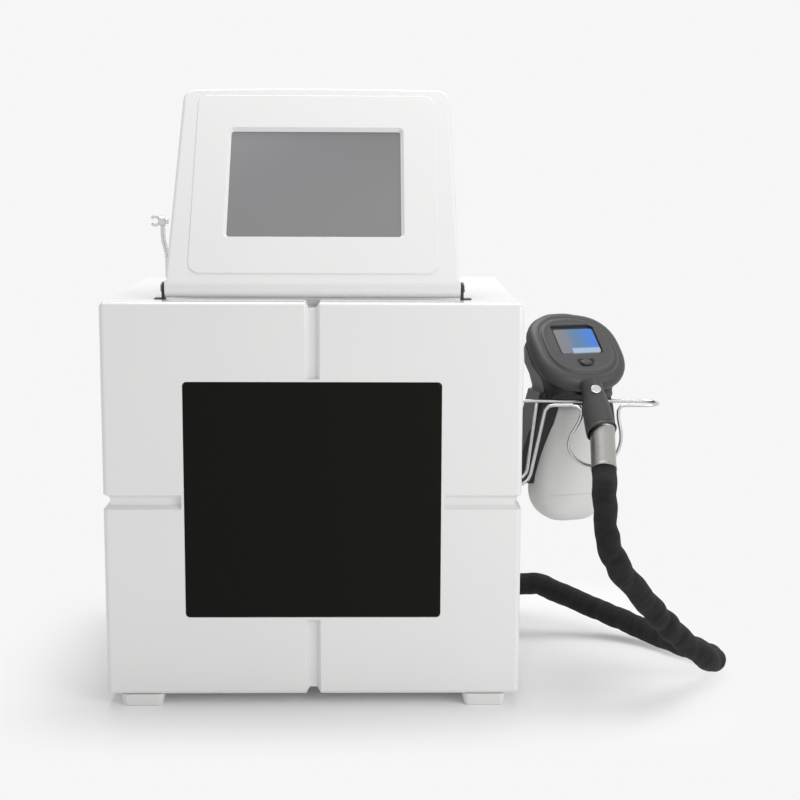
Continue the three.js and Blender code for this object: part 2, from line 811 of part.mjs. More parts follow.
function hingeCheek(side) {
  const near = consoleFootHalf + earGap;
  const far = near + earThickness;
  const sorted = (a, b) => (side > 0 ? [a, b] : [-b, -a]);
  const shape = new THREE.Shape();
  shape.moveTo(coverDepth + joinGap, lidTop);
  shape.lineTo(pivotSetback + earBase, lidTop);
  shape.lineTo(pivotSetback + earRadius, pivotRise);
  shape.absarc(pivotSetback, pivotRise, earRadius, 0, Math.PI);
  shape.lineTo(pivotSetback - earRadius, topRise + joinGap);
  shape.lineTo(coverDepth + joinGap, topRise + joinGap);
  const plate = alongX(shape, ...sorted(near, far), 10);
  const foot = block(...sorted(far - joinGap, far + earFoot), coverDepth + joinGap, pivotSetback + earBase,
    lidTop, lidTop + earThickness);
  const bore = cylinder(pinRadius + joinGap / 3, at(-cabinetWidth, pivotSetback, pivotRise), xAxis,
    2 * cabinetWidth, 16);
  return cut(join(plate, foot), bore);
}

function hingePin(side) {
  const start = consoleFootHalf + earGap + earThickness + joinGap;
  const place = at(side * (start + pinHeadThickness), pivotSetback, pivotRise);
  const length = pinHeadThickness + start - consoleFootHalf + pinDepth;
  return turned([[0, 0], [pinHeadRadius - joinGap, 0], [pinHeadRadius, pinHeadThickness / 2],
    [pinHeadRadius, pinHeadThickness], [pinRadius, pinHeadThickness], [pinRadius, length], [0, length]],
  place, side > 0 ? left : xAxis, 16);
}

// Cooling
function waterTank() {
  const half = tankWidth / 2;
  const front = tankBack - tankDepth;
  const body = (grow, z0, z1) => loft([
    ring(portX - half - grow, portX + half + grow, front - grow, tankBack + grow, tankCorner + grow, z0),
    ring(portX - half - grow, portX + half + grow, front - grow, tankBack + grow, tankCorner + grow, z1),
  ]);
  const ports = [fillRise, drainRise].map((rise) => cylinder(portBore,
    at(portX, tankBack - 2 * tankWall, rise), yAxis, 2 * tankWall + cutOverrun, 16));
  return cut(body(0, panTop, tankTop), body(-tankWall, panTop + tankWall, tankTop - tankWall), ...ports);
}

function waterPort(rise) {
  const length = cabinetDepth - tankBack + portReach;
  return tube(portRadius, portBore, at(portX, tankBack, rise), yAxis, length);
}

function waterCap(rise) {
  const front = cabinetDepth + joinGap;
  const hood = turned([[0, portReach], [portRadius + joinGap, portReach], [portRadius + joinGap, 0],
    [capRadius, 0], [capRadius, capLength - capWall / 2], [capRadius - capWall / 2, capLength],
    [0, capLength]], at(portX, front, rise), yAxis);
  const grips = Array.from({ length: capGrips }, (_, i) => {
    const angle = (2 * Math.PI * i) / capGrips;
    return cylinder(gripRadius, at(portX + capRadius * Math.cos(angle), front - cutOverrun,
      rise + capRadius * Math.sin(angle)), yAxis, capLength + 2 * cutOverrun, 8);
  });
  return cut(hood, ...grips);
}

function waterPump() {
  const axis = panTop + pumpHeadRadius + cutOverrun;
  const front = pumpSetback - pumpLength;
  const motor = turned([[0, 0], [pumpRadius - sheet, 0], [pumpRadius, sheet], [pumpRadius, pumpLength],
    [0, pumpLength]], at(pumpX, front, axis), yAxis);
  const head = cylinder(pumpHeadRadius, at(pumpX, pumpSetback - joinGap, axis), yAxis,
    pumpHeadLength + joinGap);
  const foot = block(pumpX - pumpFoot / 2, pumpX + pumpFoot / 2, front + cutOverrun, pumpSetback,
    panTop, panTop + cutOverrun);
  const saddle = block(pumpX - pumpFoot / 4, pumpX + pumpFoot / 4, front + cutOverrun, pumpSetback,
    panTop, axis - pumpRadius / 2);
  const outlet = cylinder(pumpPortRadius, at(pumpX, pumpSetback + pumpHeadLength / 2, axis), zAxis,
    pumpHeadRadius + pumpPortReach, 16);
  const inlet = cylinder(pumpPortRadius, at(pumpX, pumpSetback, axis), yAxis,
    pumpHeadLength + pumpPortReach / 2, 16);
  return join(motor, head, foot, saddle, outlet, inlet);
}

function radiator() {
  const half = fanSize / 2;
  const front = fanFront - radiatorDepth;
  const core = block(fanX - half, fanX + half, front, fanFront, fanRise - half, fanRise + half);
  const span = half - radiatorFrame;
  const pitch = (2 * span) / radiatorSlots;
  const slots = Array.from({ length: radiatorSlots }, (_, i) => {
    const x = fanX - span + (i + 1 / 2) * pitch;
    return block(x - slotWidth / 2, x + slotWidth / 2, front - cutOverrun, fanFront + cutOverrun,
      fanRise - span, fanRise + span);
  });
  const ports = [-1, 1].map((side) => cylinder(pumpPortRadius, at(fanX + side * (half - radiatorFrame),
    front + radiatorDepth / 2, fanRise + half - sheet), zAxis, pumpPortReach, 16));
  return join(cut(core, ...slots), ...ports);
}

function fanFrame() {
  const half = fanSize / 2;
  const body = alongY(middled(fanSize, fanSize, fanCorner, fanX, fanRise), fanFront, rearPlane);
  const bore = cylinder(fanBore, at(fanX, fanFront - cutOverrun, fanRise), yAxis,
    fanDepth + 2 * cutOverrun, 36);
  const hub = cylinder(hubRadius, at(fanX, fanFront, fanRise), yAxis, spiderThickness);
  const shaft = cylinder(shaftRadius, at(fanX, fanFront, fanRise), yAxis, fanDepth - 2 * spiderThickness, 12);
  const low = fanRise - spiderWidth / 2;
  const arms = [
    block(fanX - half + sheet, fanX + half - sheet, fanFront, fanFront + spiderThickness,
      low, low + spiderWidth),
    block(fanX - spiderWidth / 2, fanX + spiderWidth / 2, fanFront, fanFront + spiderThickness,
      fanRise - half + sheet, fanRise + half - sheet),
  ];
  return join(cut(body, bore), hub, shaft, ...arms);
}

function fanRotor() {
  const front = fanFront + spiderThickness + rotorGap;
  const deep = fanDepth - spiderThickness - 2 * rotorGap;
  const hub = cylinder(hubRadius - rotorGap, at(fanX, front, fanRise), yAxis, deep);
  const bore = cylinder(shaftRadius + joinGap, at(fanX, front - cutOverrun, fanRise), yAxis,
    deep - sheet + cutOverrun, 12);
  const sweep = cylinder(rotorRadius, at(fanX, front, fanRise), yAxis, deep, 36);
  const blades = Array.from({ length: bladeCount }, (_, i) => {
    const geometry = new THREE.BoxGeometry(bladeThickness, bladeChord, rotorRadius);
    geometry.rotateZ(radians(bladePitch));
    geometry.translate(0, front + deep / 2, rotorRadius / 2 + hubRadius / 2);
    geometry.rotateY((2 * Math.PI * i) / bladeCount);
    geometry.translate(fanX, 0, fanRise);
    return solidOf(geometry).intersect(sweep);
  });
  return cut(join(hub, ...blades), bore);
}

function fanGuard() {
  const rings = guardRadii.map((radius) => tube(radius + guardWire / 2, radius - guardWire / 2,
    at(fanX, cabinetDepth, fanRise), yAxis, guardWire, 16));
  const spokes = [0, 90].map((turn) => {
    const geometry = new THREE.BoxGeometry(2 * guardReach, guardWire, guardWire);
    geometry.rotateY(radians(turn + 45));
    geometry.translate(fanX, cabinetDepth + guardWire / 2, fanRise);
    return solidOf(geometry);
  });
  return join(...rings, ...spokes);
}

// Power inlet and switch
function fitting(x, z, width, height, depth) {
  const plug = alongY(middled(width, height, inletCorner, x, z), rearPlane - depth,
    cabinetDepth + joinGap, 1);
  const flange = softPlate(middled(width + 2 * inletLip, height + 2 * inletLip, inletCorner, x, z),
    inletFlange, inletFlange / 4, at(0, cabinetDepth + inletFlange, 0), xAxis, zAxis, 1, 1);
  return join(plug, flange);
}

function powerInlet() {
  const floor = cabinetDepth + inletFlange - inletPocket;
  const pocket = alongY(middled(inletWidth - 2 * inletWall, inletHeight - 2 * inletWall, inletCorner, inletX,
    inletRise), floor, cabinetDepth + 2 * inletFlange, 1);
  const contacts = [-1, 0, 1].map((column) => {
    const x = inletX + column * contactPitch;
    const z = inletRise + (column === 0 ? contactHeight / 2 : -contactHeight / 2);
    return block(x - contactWidth / 2, x + contactWidth / 2, floor - sheet, floor + contactReach,
      z - contactHeight / 2, z + contactHeight / 2);
  });
  return join(cut(fitting(inletX, inletRise, inletWidth, inletHeight, inletBodyDepth), pocket), ...contacts);
}

function switchFrame() {
  const well = alongY(middled(switchWidth - 2 * switchWall, switchHeight - 2 * switchWall, joinGap, switchX,
    switchRise), rearPlane - switchBodyDepth + switchWall, cabinetDepth + 2 * inletFlange, 1);
  return cut(fitting(switchX, switchRise, switchWidth, switchHeight, switchBodyDepth), well);
}

function rocker() {
  const half = switchWidth / 2 - switchWall - 2 * joinGap;
  const high = switchHeight / 2 - switchWall - joinGap - rockerSlim;
  const axisY = cabinetDepth - rockerRadius / 2;
  const proud = inletFlange + rockerProud;
  const shape = polygon([[-rockerRadius / 3, -high / 2], [rockerRadius / 3, -high / 2],
    [rockerRadius / 2 + proud, -high], [rockerRadius / 2 + inletFlange, 0], [rockerRadius / 2 + proud, high],
    [rockerRadius / 3, high / 2], [-rockerRadius / 3, high / 2]]);
  const geometry = new THREE.ExtrudeGeometry(shape, { depth: 2 * half, bevelEnabled: false });
  geometry.applyMatrix4(basisAt(yAxis, zAxis, at(-half, 0, 0)));
  geometry.rotateX(radians(rockerTilt));
  geometry.translate(switchX, axisY, switchRise);
  return solidOf(geometry);
}

// On the shelf
function powerSupply() {
  const half = supplyWidth / 2;
  const deep = supplyDepth / 2;
  const box = block(supplyX - half, supplyX + half, supplySetback - deep, supplySetback + deep,
    shelfTop, shelfTop + supplyHeight);
  const room = block(supplyX - half + supplyWall, supplyX + half - supplyWall,
    supplySetback - deep + supplyWall, supplySetback + deep - supplyWall,
    shelfTop + supplyWall, shelfTop + supplyHeight - supplyWall);
  const pitch = supplyWidth / (supplySlots + 1);
  const slots = Array.from({ length: supplySlots }, (_, i) => {
    const x = supplyX - half + (i + 1) * pitch;
    return block(x - slotWidth / 2, x + slotWidth / 2, supplySetback - deep / 2, supplySetback + deep / 2,
      shelfTop + supplyHeight - 2 * supplyWall, shelfTop + supplyHeight + cutOverrun);
  });
  return cut(box, room, ...slots);
}

function controlBoard() {
  const half = boardWidth / 2;
  const deep = boardDepth / 2;
  const under = shelfTop + postHeight;
  const over = under + boardThickness;
  const plate = block(boardX - half, boardX + half, boardSetback - deep, boardSetback + deep, under, over);
  const corners = [[-1, -1], [1, -1], [-1, 1], [1, 1]];
  const posts = corners.map(([sx, sy]) => cylinder(postRadius, at(boardX + sx * (half - postInset),
    boardSetback + sy * (deep - postInset), shelfTop), zAxis, postHeight + sheet, 12));
  const chips = corners.map(([sx, sy]) => block(
    boardX + sx * half / 2 - chipSize / 2, boardX + sx * half / 2 + chipSize / 2,
    boardSetback + sy * deep / 2 - chipSize / 2, boardSetback + sy * deep / 2 + chipSize / 2,
    under, over + chipThickness * (3 + sx)));
  return join(plate, ...posts, ...chips);
}

function vacuumPump() {
  const axis = shelfTop + vacuumFoot + vacuumHead / 2;
  const half = vacuumHead / 2;
  const back = vacuumSetback + vacuumLength / 2;
  const front = back - vacuumLength;
  const motor = turned([[0, 0], [vacuumRadius - sheet, 0], [vacuumRadius, sheet],
    [vacuumRadius, vacuumLength], [0, vacuumLength]], at(vacuumX, front, axis), yAxis);
  const head = alongY(middled(vacuumHead, vacuumHead, vacuumCorner, vacuumX, axis),
    back - vacuumHeadDepth, back);
  const base = block(vacuumX - half, vacuumX + half, front, back, shelfTop, shelfTop + vacuumFoot);
  const saddle = block(vacuumX - half / 2, vacuumX + half / 2, front + sheet, back,
    shelfTop, axis - half / 2);
  const ports = [-1, 1].map((side) => cylinder(pumpPortRadius, at(vacuumX + side * half / 2,
    back - vacuumHeadDepth / 2, axis + half - sheet), zAxis, pumpPortReach / 2, 16));
  return join(motor, head, base, saddle, ...ports);
}

// Wire holder
function holderPlate() {
  const plate = alongX(roundedRectangle(plateFront, plateBack, plateBottom, plateTop, plateCorner),
    casingHalf, plateFace);
  const screws = [plateBottom + screwInset, plateTop - screwInset].flatMap((z) => (
    [plateFront + screwInset, plateBack - screwInset].map((y) => turned(
      [[0, -sheet], [screwRadius, -sheet], [screwRadius, screwHeight / 2], [screwRadius / 2, screwHeight],
        [0, screwHeight]], at(plateFace, y, z), xAxis, 12))));
  return join(plate, ...screws);
}

const bendRadius = (rearBarSetback - frontBarSetback) / 2;
const bendStart = holderEnd - bendRadius;

const rearBar = () => rod(new THREE.LineCurve3(at(plateFace, rearBarSetback, barRise),
  at(bendStart, rearBarSetback, barRise)), rodRadius, rodSides, 1);

function endBend() {
  const middle = (rearBarSetback + frontBarSetback) / 2;
  const path = new THREE.CurvePath();
  const quarter = (sign0, sign1) => {
    const knot = (sy) => at(bendStart, middle + sy * bendRadius, barRise);
    const tip = at(holderEnd, middle, barRise);
    const from = sign0 === 0 ? tip : knot(sign0);
    const to = sign1 === 0 ? tip : knot(sign1);
    const sign = sign0 + sign1;
    const corner = at(holderEnd, middle + sign * bendRadius, barRise);
    const ease = (4 / 3) * (Math.SQRT2 - 1);
    return new THREE.CubicBezierCurve3(from, from.clone().lerp(corner, ease),
      to.clone().lerp(corner, ease), to);
  };
  path.add(quarter(1, 0));
  path.add(quarter(0, -1));
  path.add(new THREE.LineCurve3(at(bendStart, frontBarSetback, barRise),
    at(throatX + throatHalf, frontBarSetback, barRise)));
  return rod(path, rodRadius, rodSides, armSteps);
}

// The loop that parts for the neck; its ends are trimmed square to meet the bars
function throat() {
  const places = throatLine.map(([across, rise]) => at(throatX + across, frontBarSetback, barRise + rise));
  const loop = rod(new THREE.CatmullRomCurve3(places, false, 'centripetal'), rodRadius, rodSides,
    throatSteps);
  const trim = (x0, x1) => block(x0, x1, 0, rearBarSetback, barRise - 2 * rodRadius, barRise + 2 * rodRadius);
  return cut(loop, trim(throatX - 2 * throatHalf, throatX - throatHalf),
    trim(throatX + throatHalf, throatX + 2 * throatHalf));
}

const wallSide = () => block(0, plateFace, 0, cabinetDepth, 0, barRise);
const stubEnd = (setback) => at(plateFace - cutOverrun, setback,
  stubRise - cutOverrun * (strutFootRise - stubRise) / (strutFootX - plateFace));

function frontArm() {
  return cut(rod(bentPath([
    at(throatX - throatHalf, frontBarSetback, barRise),
    at(frontElbowX, frontBarSetback, barRise),
    at(strutFootX, frontBarSetback, strutFootRise),
    stubEnd(frontBarSetback),
  ], elbowBend), rodRadius, rodSides, armSteps), wallSide());
}

function rearStrut() {
  const lean = (rearElbowX - strutFootX) / (barRise - strutFootRise);
  const top = barRise - 1 / 2 * rodRadius;
  const strut = rod(bentPath([
    at(rearElbowX - lean * (barRise - top), rearBarSetback, top),
    at(strutFootX, rearBarSetback, strutFootRise),
    stubEnd(rearBarSetback),
  ], elbowBend), rodRadius, rodSides, armSteps);
  const clearance = cylinder(rodRadius + joinGap, at(plateFace, rearBarSetback, barRise), xAxis,
    bendStart - plateFace, 2 * rodSides);
  return cut(strut, clearance, wallSide());
}

// Handpiece: drawn in its own frame, then turned and hung in the holder as one group
const podSine = Math.sin(radians(podTilt));
const podCosine = Math.cos(radians(podTilt));
const faceUp = at(0, podSine, podCosine);
const faceOut = at(0, -podCosine, podSine);
const faceMiddle = at(0, podSetback, podRise);
const onFace = (x, y, z) => faceMiddle.clone().add(xAxis.clone().multiplyScalar(x))
  .add(faceUp.clone().multiplyScalar(y)).add(faceOut.clone().multiplyScalar(z));

function podShape(grow, share = 1) {
  const power = 2 / podPower;
  return polygon(Array.from({ length: podSides }, (_, i) => {
    const angle = (2 * Math.PI * i) / podSides;
    const c = Math.cos(angle);
    const s = Math.sin(angle);
    return [
      Math.sign(c) * Math.abs(c) ** power * (share * podWidth / 2 + grow),
      Math.sign(s) * Math.abs(s) ** power * (share * podHeight / 2 + grow) - podDrop,
    ];
  }));
}

const podSolid = (grow) => softPlate(podShape(grow), podThickness + 2 * grow, podEdge,
  onFace(0, 0, -podThickness - grow), xAxis, faceUp, 2);
const facePrism = (shape, z0, z1) => prism(shape, z1 - z0, onFace(0, 0, z0), xAxis, faceUp, 4);

const displayShape = (grow) => middled(displayWidth + 2 * grow, displayHeight + 2 * grow,
  displayCorner + grow);
const buttonShape = (grow) => middled(buttonWidth + 2 * grow, buttonHeight + 2 * grow,
  buttonHeight / 2 + grow - joinGap, 0, -buttonDrop);

function handpieceFace() {
  const front = podSolid(0).intersect(facePrism(podShape(podSeam), -podSeam, podSeam));
  const plate = softPlate(podShape(0, facePlateShare), podSeam + facePlateRise, smallEdge,
    onFace(0, 0, -podSeam), xAxis, faceUp, 1);
  const tab = softPlate(middled(topTabWidth, 2 * podEdge, topTabReach, 0, podHeight / 2 - podDrop - podEdge
    + topTabReach), topTabThickness, topTabReach / 2, onFace(0, 0, -podSeam), xAxis, faceUp, 2);
  const trimmed = tab.intersect(facePrism(podShape(podSeam), -podSeam, -facePlateRise));
  return cut(join(front, plate, trimmed),
    facePrism(displayShape(joinGap), facePlateRise - displayRecess, podSeam),
    facePrism(buttonShape(joinGap), -2 * podSeam, podSeam));
}

const handpieceDisplay = () => facePrism(displayShape(0), facePlateRise - displayRecess + joinGap,
  facePlateRise - displayRecess + joinGap + displayThickness);

const handpieceButton = () => softPlate(buttonShape(0), buttonLength, buttonEdge,
  onFace(0, 0, facePlateRise + buttonProud - buttonLength), xAxis, faceUp, 2, 4);

const neckFoot = at(0, -neckFootReach, -neckFootDrop);
const neckRun = onFace(0, -neckDrop, 0).sub(neckFoot).normalize();
const alongNeck = (distance) => neckFoot.clone().addScaledVector(neckRun, distance);
const neckFront = new THREE.Vector3().crossVectors(xAxis, neckRun);
const ferruleRun = at(
  -Math.sin(radians(ferruleSwing)) * Math.cos(radians(ferruleDrop)),
  -Math.cos(radians(ferruleSwing)) * Math.cos(radians(ferruleDrop)),
  -Math.sin(radians(ferruleDrop)));
const alongFerrule = (distance) => neckFoot.clone().addScaledVector(ferruleRun, distance);

function cupSolid(grow) {
  const corner = cupBase + cupLip;
  const shape = new THREE.Shape();
  shape.moveTo(-cupShoulder - grow, cupShoulderRise + grow);
  shape.lineTo(-cupFlare - grow, cupFlareRise);
  shape.lineTo(-cupHalf - grow, cupFlareRise - cupFlankFoot);
  shape.lineTo(-cupHalf - grow, corner);
  shape.absarc(cupLip - cupHalf, corner, cupLip + grow, Math.PI, 1.5 * Math.PI);
  shape.absarc(cupHalf - cupLip, corner, cupLip + grow, -Math.PI / 2, 0);
  shape.lineTo(cupHalf + grow, cupFlareRise - cupFlankFoot);
  shape.lineTo(cupFlare + grow, cupFlareRise);
  shape.lineTo(cupShoulder + grow, cupShoulderRise + grow);
  return softPlate(shape, cupDepth + 2 * grow, cupEdge, at(0, cupDepth + grow, 0), xAxis, zAxis, 3, 6);
}

const flankSlope = (cupFlare - cupShoulder) / (cupShoulderRise - cupFlareRise);
const flankAt = (rise) => cupShoulder - cupWall + (cupShoulderRise - cupWall - rise) * flankSlope;

function cup() {
  const low = 2 * cupBase;
  const roof = cupShoulderRise - 2 * cupWall;
  const shape = polygon([[-flankAt(roof), roof], [-flankAt(cupFlareRise), cupFlareRise],
    [cupWall - cupHalf, cupFlareRise - cupFlankFoot], [cupWall - cupHalf, low], [cupHalf - cupWall, low],
    [cupHalf - cupWall, cupFlareRise - cupFlankFoot], [flankAt(cupFlareRise), cupFlareRise],
    [flankAt(roof), roof]]);
  const room = softPlate(shape, cupDepth - 2 * cupWall, cupEdge - cupWall, at(0, cupDepth - cupWall, 0),
    xAxis, zAxis, 2);
  const bore = cylinder(suctionBore, at(0, cupDepth / 2, 2 * roof), zAxis,
    cupShoulderRise - 2 * roof + cutOverrun, 16);
  return cut(cupSolid(0), room, bore);
}

function coldPlate(side) {
  const inner = (rise) => flankAt(rise) - coldThickness - joinGap;
  const outer = (rise) => flankAt(rise) - joinGap;
  const points = [[inner(coldTop), coldTop], [inner(coldBottom), coldBottom], [outer(coldBottom), coldBottom],
    [outer(coldTop), coldTop]];
  const shape = polygon(side > 0 ? points : points.map(([u, w]) => [-u, w]).reverse());
  return alongY(shape, (cupDepth - coldLength) / 2, (cupDepth + coldLength) / 2);
}

const bodyRings = (grow) => bodyWaist.map(([rise, half], level) => ring(-half - grow, half + grow,
  bodyFront - grow, bodyBack + grow, bodyCorner + grow, level === 0 ? rise - grow : rise));

function handpieceBody() {
  const swept = (share) => facePrism(podShape(0, share), -bodySweep, -podThickness / 2);
  const bulk = loft(bodyRings(0)).intersect(swept(1));
  const slab = podSolid(0).intersect(facePrism(podShape(podSeam), -2 * podThickness, -podSeam - joinGap));
  const cheeks = loft(cheekLine.map(([rise, half]) => ring(-half, half, cheekFront, cheekBack,
    cheekCorner, rise)));
  const spigot = cut(cylinder(spigotRadius, alongNeck(spigotStart), neckRun, spigotEnd - spigotStart),
    facePrism(podShape(joinGap), -podSeam - joinGap, 3 * podSeam));
  const room = loft(bodyRings(-bodyWall)).intersect(swept((podHeight - 2 * bodyWall) / podHeight));
  const podRoom = facePrism(podShape(-podWall), podWall - podThickness, podSeam);
  return cut(join(bulk, slab, cheeks, spigot), room, podRoom, cupSolid(joinGap));
}

// Neck, badge and ferrule
function neckBoot() {
  const start = ferruleBeadLength / 2;
  const boot = turned([[0, 0], [neckRimRadius - smallEdge, 0], [neckRimRadius, smallEdge],
    [neckRimRadius, neckRimLength], [neckRimRadius - smallEdge, neckRimLength + smallEdge],
    [neckRootRadius, neckLength], [0, neckLength]], neckFoot, neckRun, 24);
  const bore = cylinder(spigotRadius + joinGap, alongNeck(-neckRimLength), neckRun,
    neckLength + 2 * neckRimLength);
  const socket = cylinder(ferruleTailRadius + joinGap, alongFerrule(-ferruleTail - joinGap), ferruleRun,
    ferruleLength);
  const rim = cylinder(ferruleRadius + ferruleBead + joinGap, alongFerrule(start - joinGap), ferruleRun,
    ferruleLength);
  const pocket = prism(badgeShape(joinGap), badgeThickness * 2, neckFoot.clone()
    .addScaledVector(neckRun, badgeRise).addScaledVector(neckFront, badgeSeat), xAxis, neckRun, 4);
  return cut(boot, bore, socket, rim, pocket, podSolid(joinGap), loft(bodyRings(joinGap)));
}

const badgeShape = (grow) => middled(badgeWidth + 2 * grow, badgeHeight + 2 * grow,
  badgeHeight / 2 + grow - joinGap);

const badge = () => softPlate(badgeShape(0), badgeThickness, smallEdge, neckFoot.clone()
  .addScaledVector(neckRun, badgeRise).addScaledVector(neckFront, badgeSeat + joinGap), xAxis, neckRun, 1, 4);

function ferrule() {
  const start = ferruleTail + ferruleBeadLength / 2;
  const end = ferruleTail + ferruleLength;
  const wide = ferruleRadius + ferruleBead;
  return turned([[ferruleBore, 0], [ferruleTailRadius, 0], [ferruleTailRadius, start], [wide, start],
    [wide, start + ferruleBeadLength], [ferruleRadius, start + ferruleBeadLength + ferruleBead],
    [ferruleRadius, end - ferruleBeadLength - ferruleBead], [wide, end - ferruleBeadLength], [wide, end],
    [ferruleBore, end], [ferruleBore, 0]], alongFerrule(-ferruleTail), ferruleRun, 24);
}

// Hose, from the ferrule down to the floor and back into the cabinet
function hose(turn) {
  const exit = alongFerrule(ferruleLength + joinGap).applyMatrix4(turn);
  const run = ferruleRun.clone().transformDirection(turn);
  const entry = at(glandFace + joinGap, glandSetback, glandRise);
  const places = [exit, exit.clone().addScaledVector(run, 2 * hoseRadius), ...hoseRoute.map((p) => at(...p)),
    entry.clone().addScaledVector(xAxis, 2 * hoseRadius), entry];
  const curve = new THREE.CatmullRomCurve3(places, false, 'centripetal');
  return rod(curve, hoseRadius, hoseSides, hoseSteps);
}

function hoseGland() {
  const length = glandLength + sheet + glandTail;
  const start = glandTail + sheet;
  return turned([[glandBore, 0], [glandSleeve - glandFlangeThickness, 0],
    [glandSleeve - glandFlangeThickness, start], [glandFlange, start],
    [glandFlange, start + glandFlangeThickness - smallEdge],
    [glandFlange - smallEdge, start + glandFlangeThickness], [glandSleeve, start + glandFlangeThickness],
    [glandSleeve, length - smallEdge], [glandSleeve - smallEdge, length], [glandBore, length],
    [glandBore, 0]], at(casingInner - glandTail, glandSetback, glandRise), xAxis);
}

const glandHole = () => cylinder(glandSleeve - glandFlangeThickness + joinGap,
  at(casingInner - cutOverrun, glandSetback, glandRise), xAxis, sheet + 2 * cutOverrun);

// Hanger behind the left corner
function hangerSocket() {
  const shape = middled(2 * socketHalf, socketHeight, socketCorner, hangerX, socketTop - socketHeight / 2);
  const body = softPlate(shape, 2 * socketHalf, sheet, at(0, cabinetDepth + 2 * socketHalf, 0),
    xAxis, zAxis, 2);
  const flat = block(hangerX - socketHalf, hangerX + socketHalf, cabinetDepth, cabinetDepth + socketHalf,
    socketTop - socketHeight, socketTop);
  const bore = cylinder(hangerRodRadius + joinGap, at(hangerX, hangerSetback, socketTop - socketHeight
    + socketFoot), zAxis, socketHeight, 16);
  return cut(join(body, flat), bore);
}

function hangerArm() {
  return rod(bentPath([
    at(hangerX, hangerSetback, socketTop - socketHeight + socketFoot),
    at(hangerX, hangerSetback, hangerKnee),
    at(clipX, hangerSetback, hangerTop - 2 * clipRadius),
    at(clipX, hangerSetback, clipRise - clipBore),
  ], clipRadius), hangerRodRadius, 10, hangerSteps);
}

function hangerClip() {
  const half = clipLength / 2;
  const collar = turned([[0, 0], [clipRadius - smallEdge, 0], [clipRadius, smallEdge],
    [clipRadius, clipLength - smallEdge], [clipTipRadius, clipLength],
    [clipTipRadius, clipLength + clipTipLength - smallEdge],
    [clipTipRadius - smallEdge, clipLength + clipTipLength], [0, clipLength + clipTipLength]],
  at(clipX - half, hangerSetback, clipRise), xAxis);
  const middle = at(clipX - half - ringRadius, hangerSetback, clipRise);
  const open = radians(ringOpening);
  const arc = Array.from({ length: hangerSteps + 1 }, (_, i) => {
    const angle = Math.PI + open / 2 + ((2 * Math.PI - open) * i) / hangerSteps;
    return at(middle.x + ringRadius * Math.cos(angle), hangerSetback,
      middle.z + ringRadius * Math.sin(angle));
  });
  const ringSolid = rod(new THREE.CatmullRomCurve3(arc), ringWire, rodSides, hangerSteps);
  const bore = cylinder(hangerRodRadius + joinGap, at(clipX, hangerSetback, clipRise - 2 * clipRadius), zAxis,
    2 * clipRadius - clipBore + joinGap, 16);
  return cut(join(collar, ringSolid), bore);
}

// Everything in place
const consoleGroup = new THREE.Group();
consoleGroup.name = 'console';
consoleGroup.position.set(0, pivotSetback, pivotRise);
consoleGroup.rotation.x = -radians(consoleTilt);
consoleGroup.add(
  piece('console_front_bezel', consoleBezel(), whiteGloss),
  piece('console_rear_shell', consoleBack(), whitePaint),
  piece('touch_screen', touchScreen(), greyGlass),
  piece('lcd_module', lcdModule(), aluminium),
  piece('console_board', consoleBoard(), greenBoard),
);

const handpiece = new THREE.Group();
handpiece.name = 'handpiece';
handpiece.position.set(handpieceX, handpieceSetback, handpieceRise);
handpiece.rotation.z = radians(handpieceYaw);
handpiece.updateMatrix();
handpiece.add(
  piece('handpiece_face', handpieceFace(), softGrey),
  piece('handpiece_body', handpieceBody(), softGrey),
  piece('handpiece_display', handpieceDisplay(), blueGlass),
  piece('handpiece_button', handpieceButton(), softGrey),
  piece('handpiece_badge', badge(), chrome),
  piece('neck_boot', neckBoot(), softGrey),
  piece('ferrule', ferrule(), brushedSteel),
  piece('cup', cup(), frosted),
  piece('cold_plate_left', coldPlate(-1), aluminium),
  piece('cold_plate_right', coldPlate(1), aluminium),
);

const footX = cabinetWidth / 2 - footInset - footWidth / 2;
const footFront = footSetback + footWidth / 2;
const footRear = cabinetDepth - footInset - footWidth / 2;

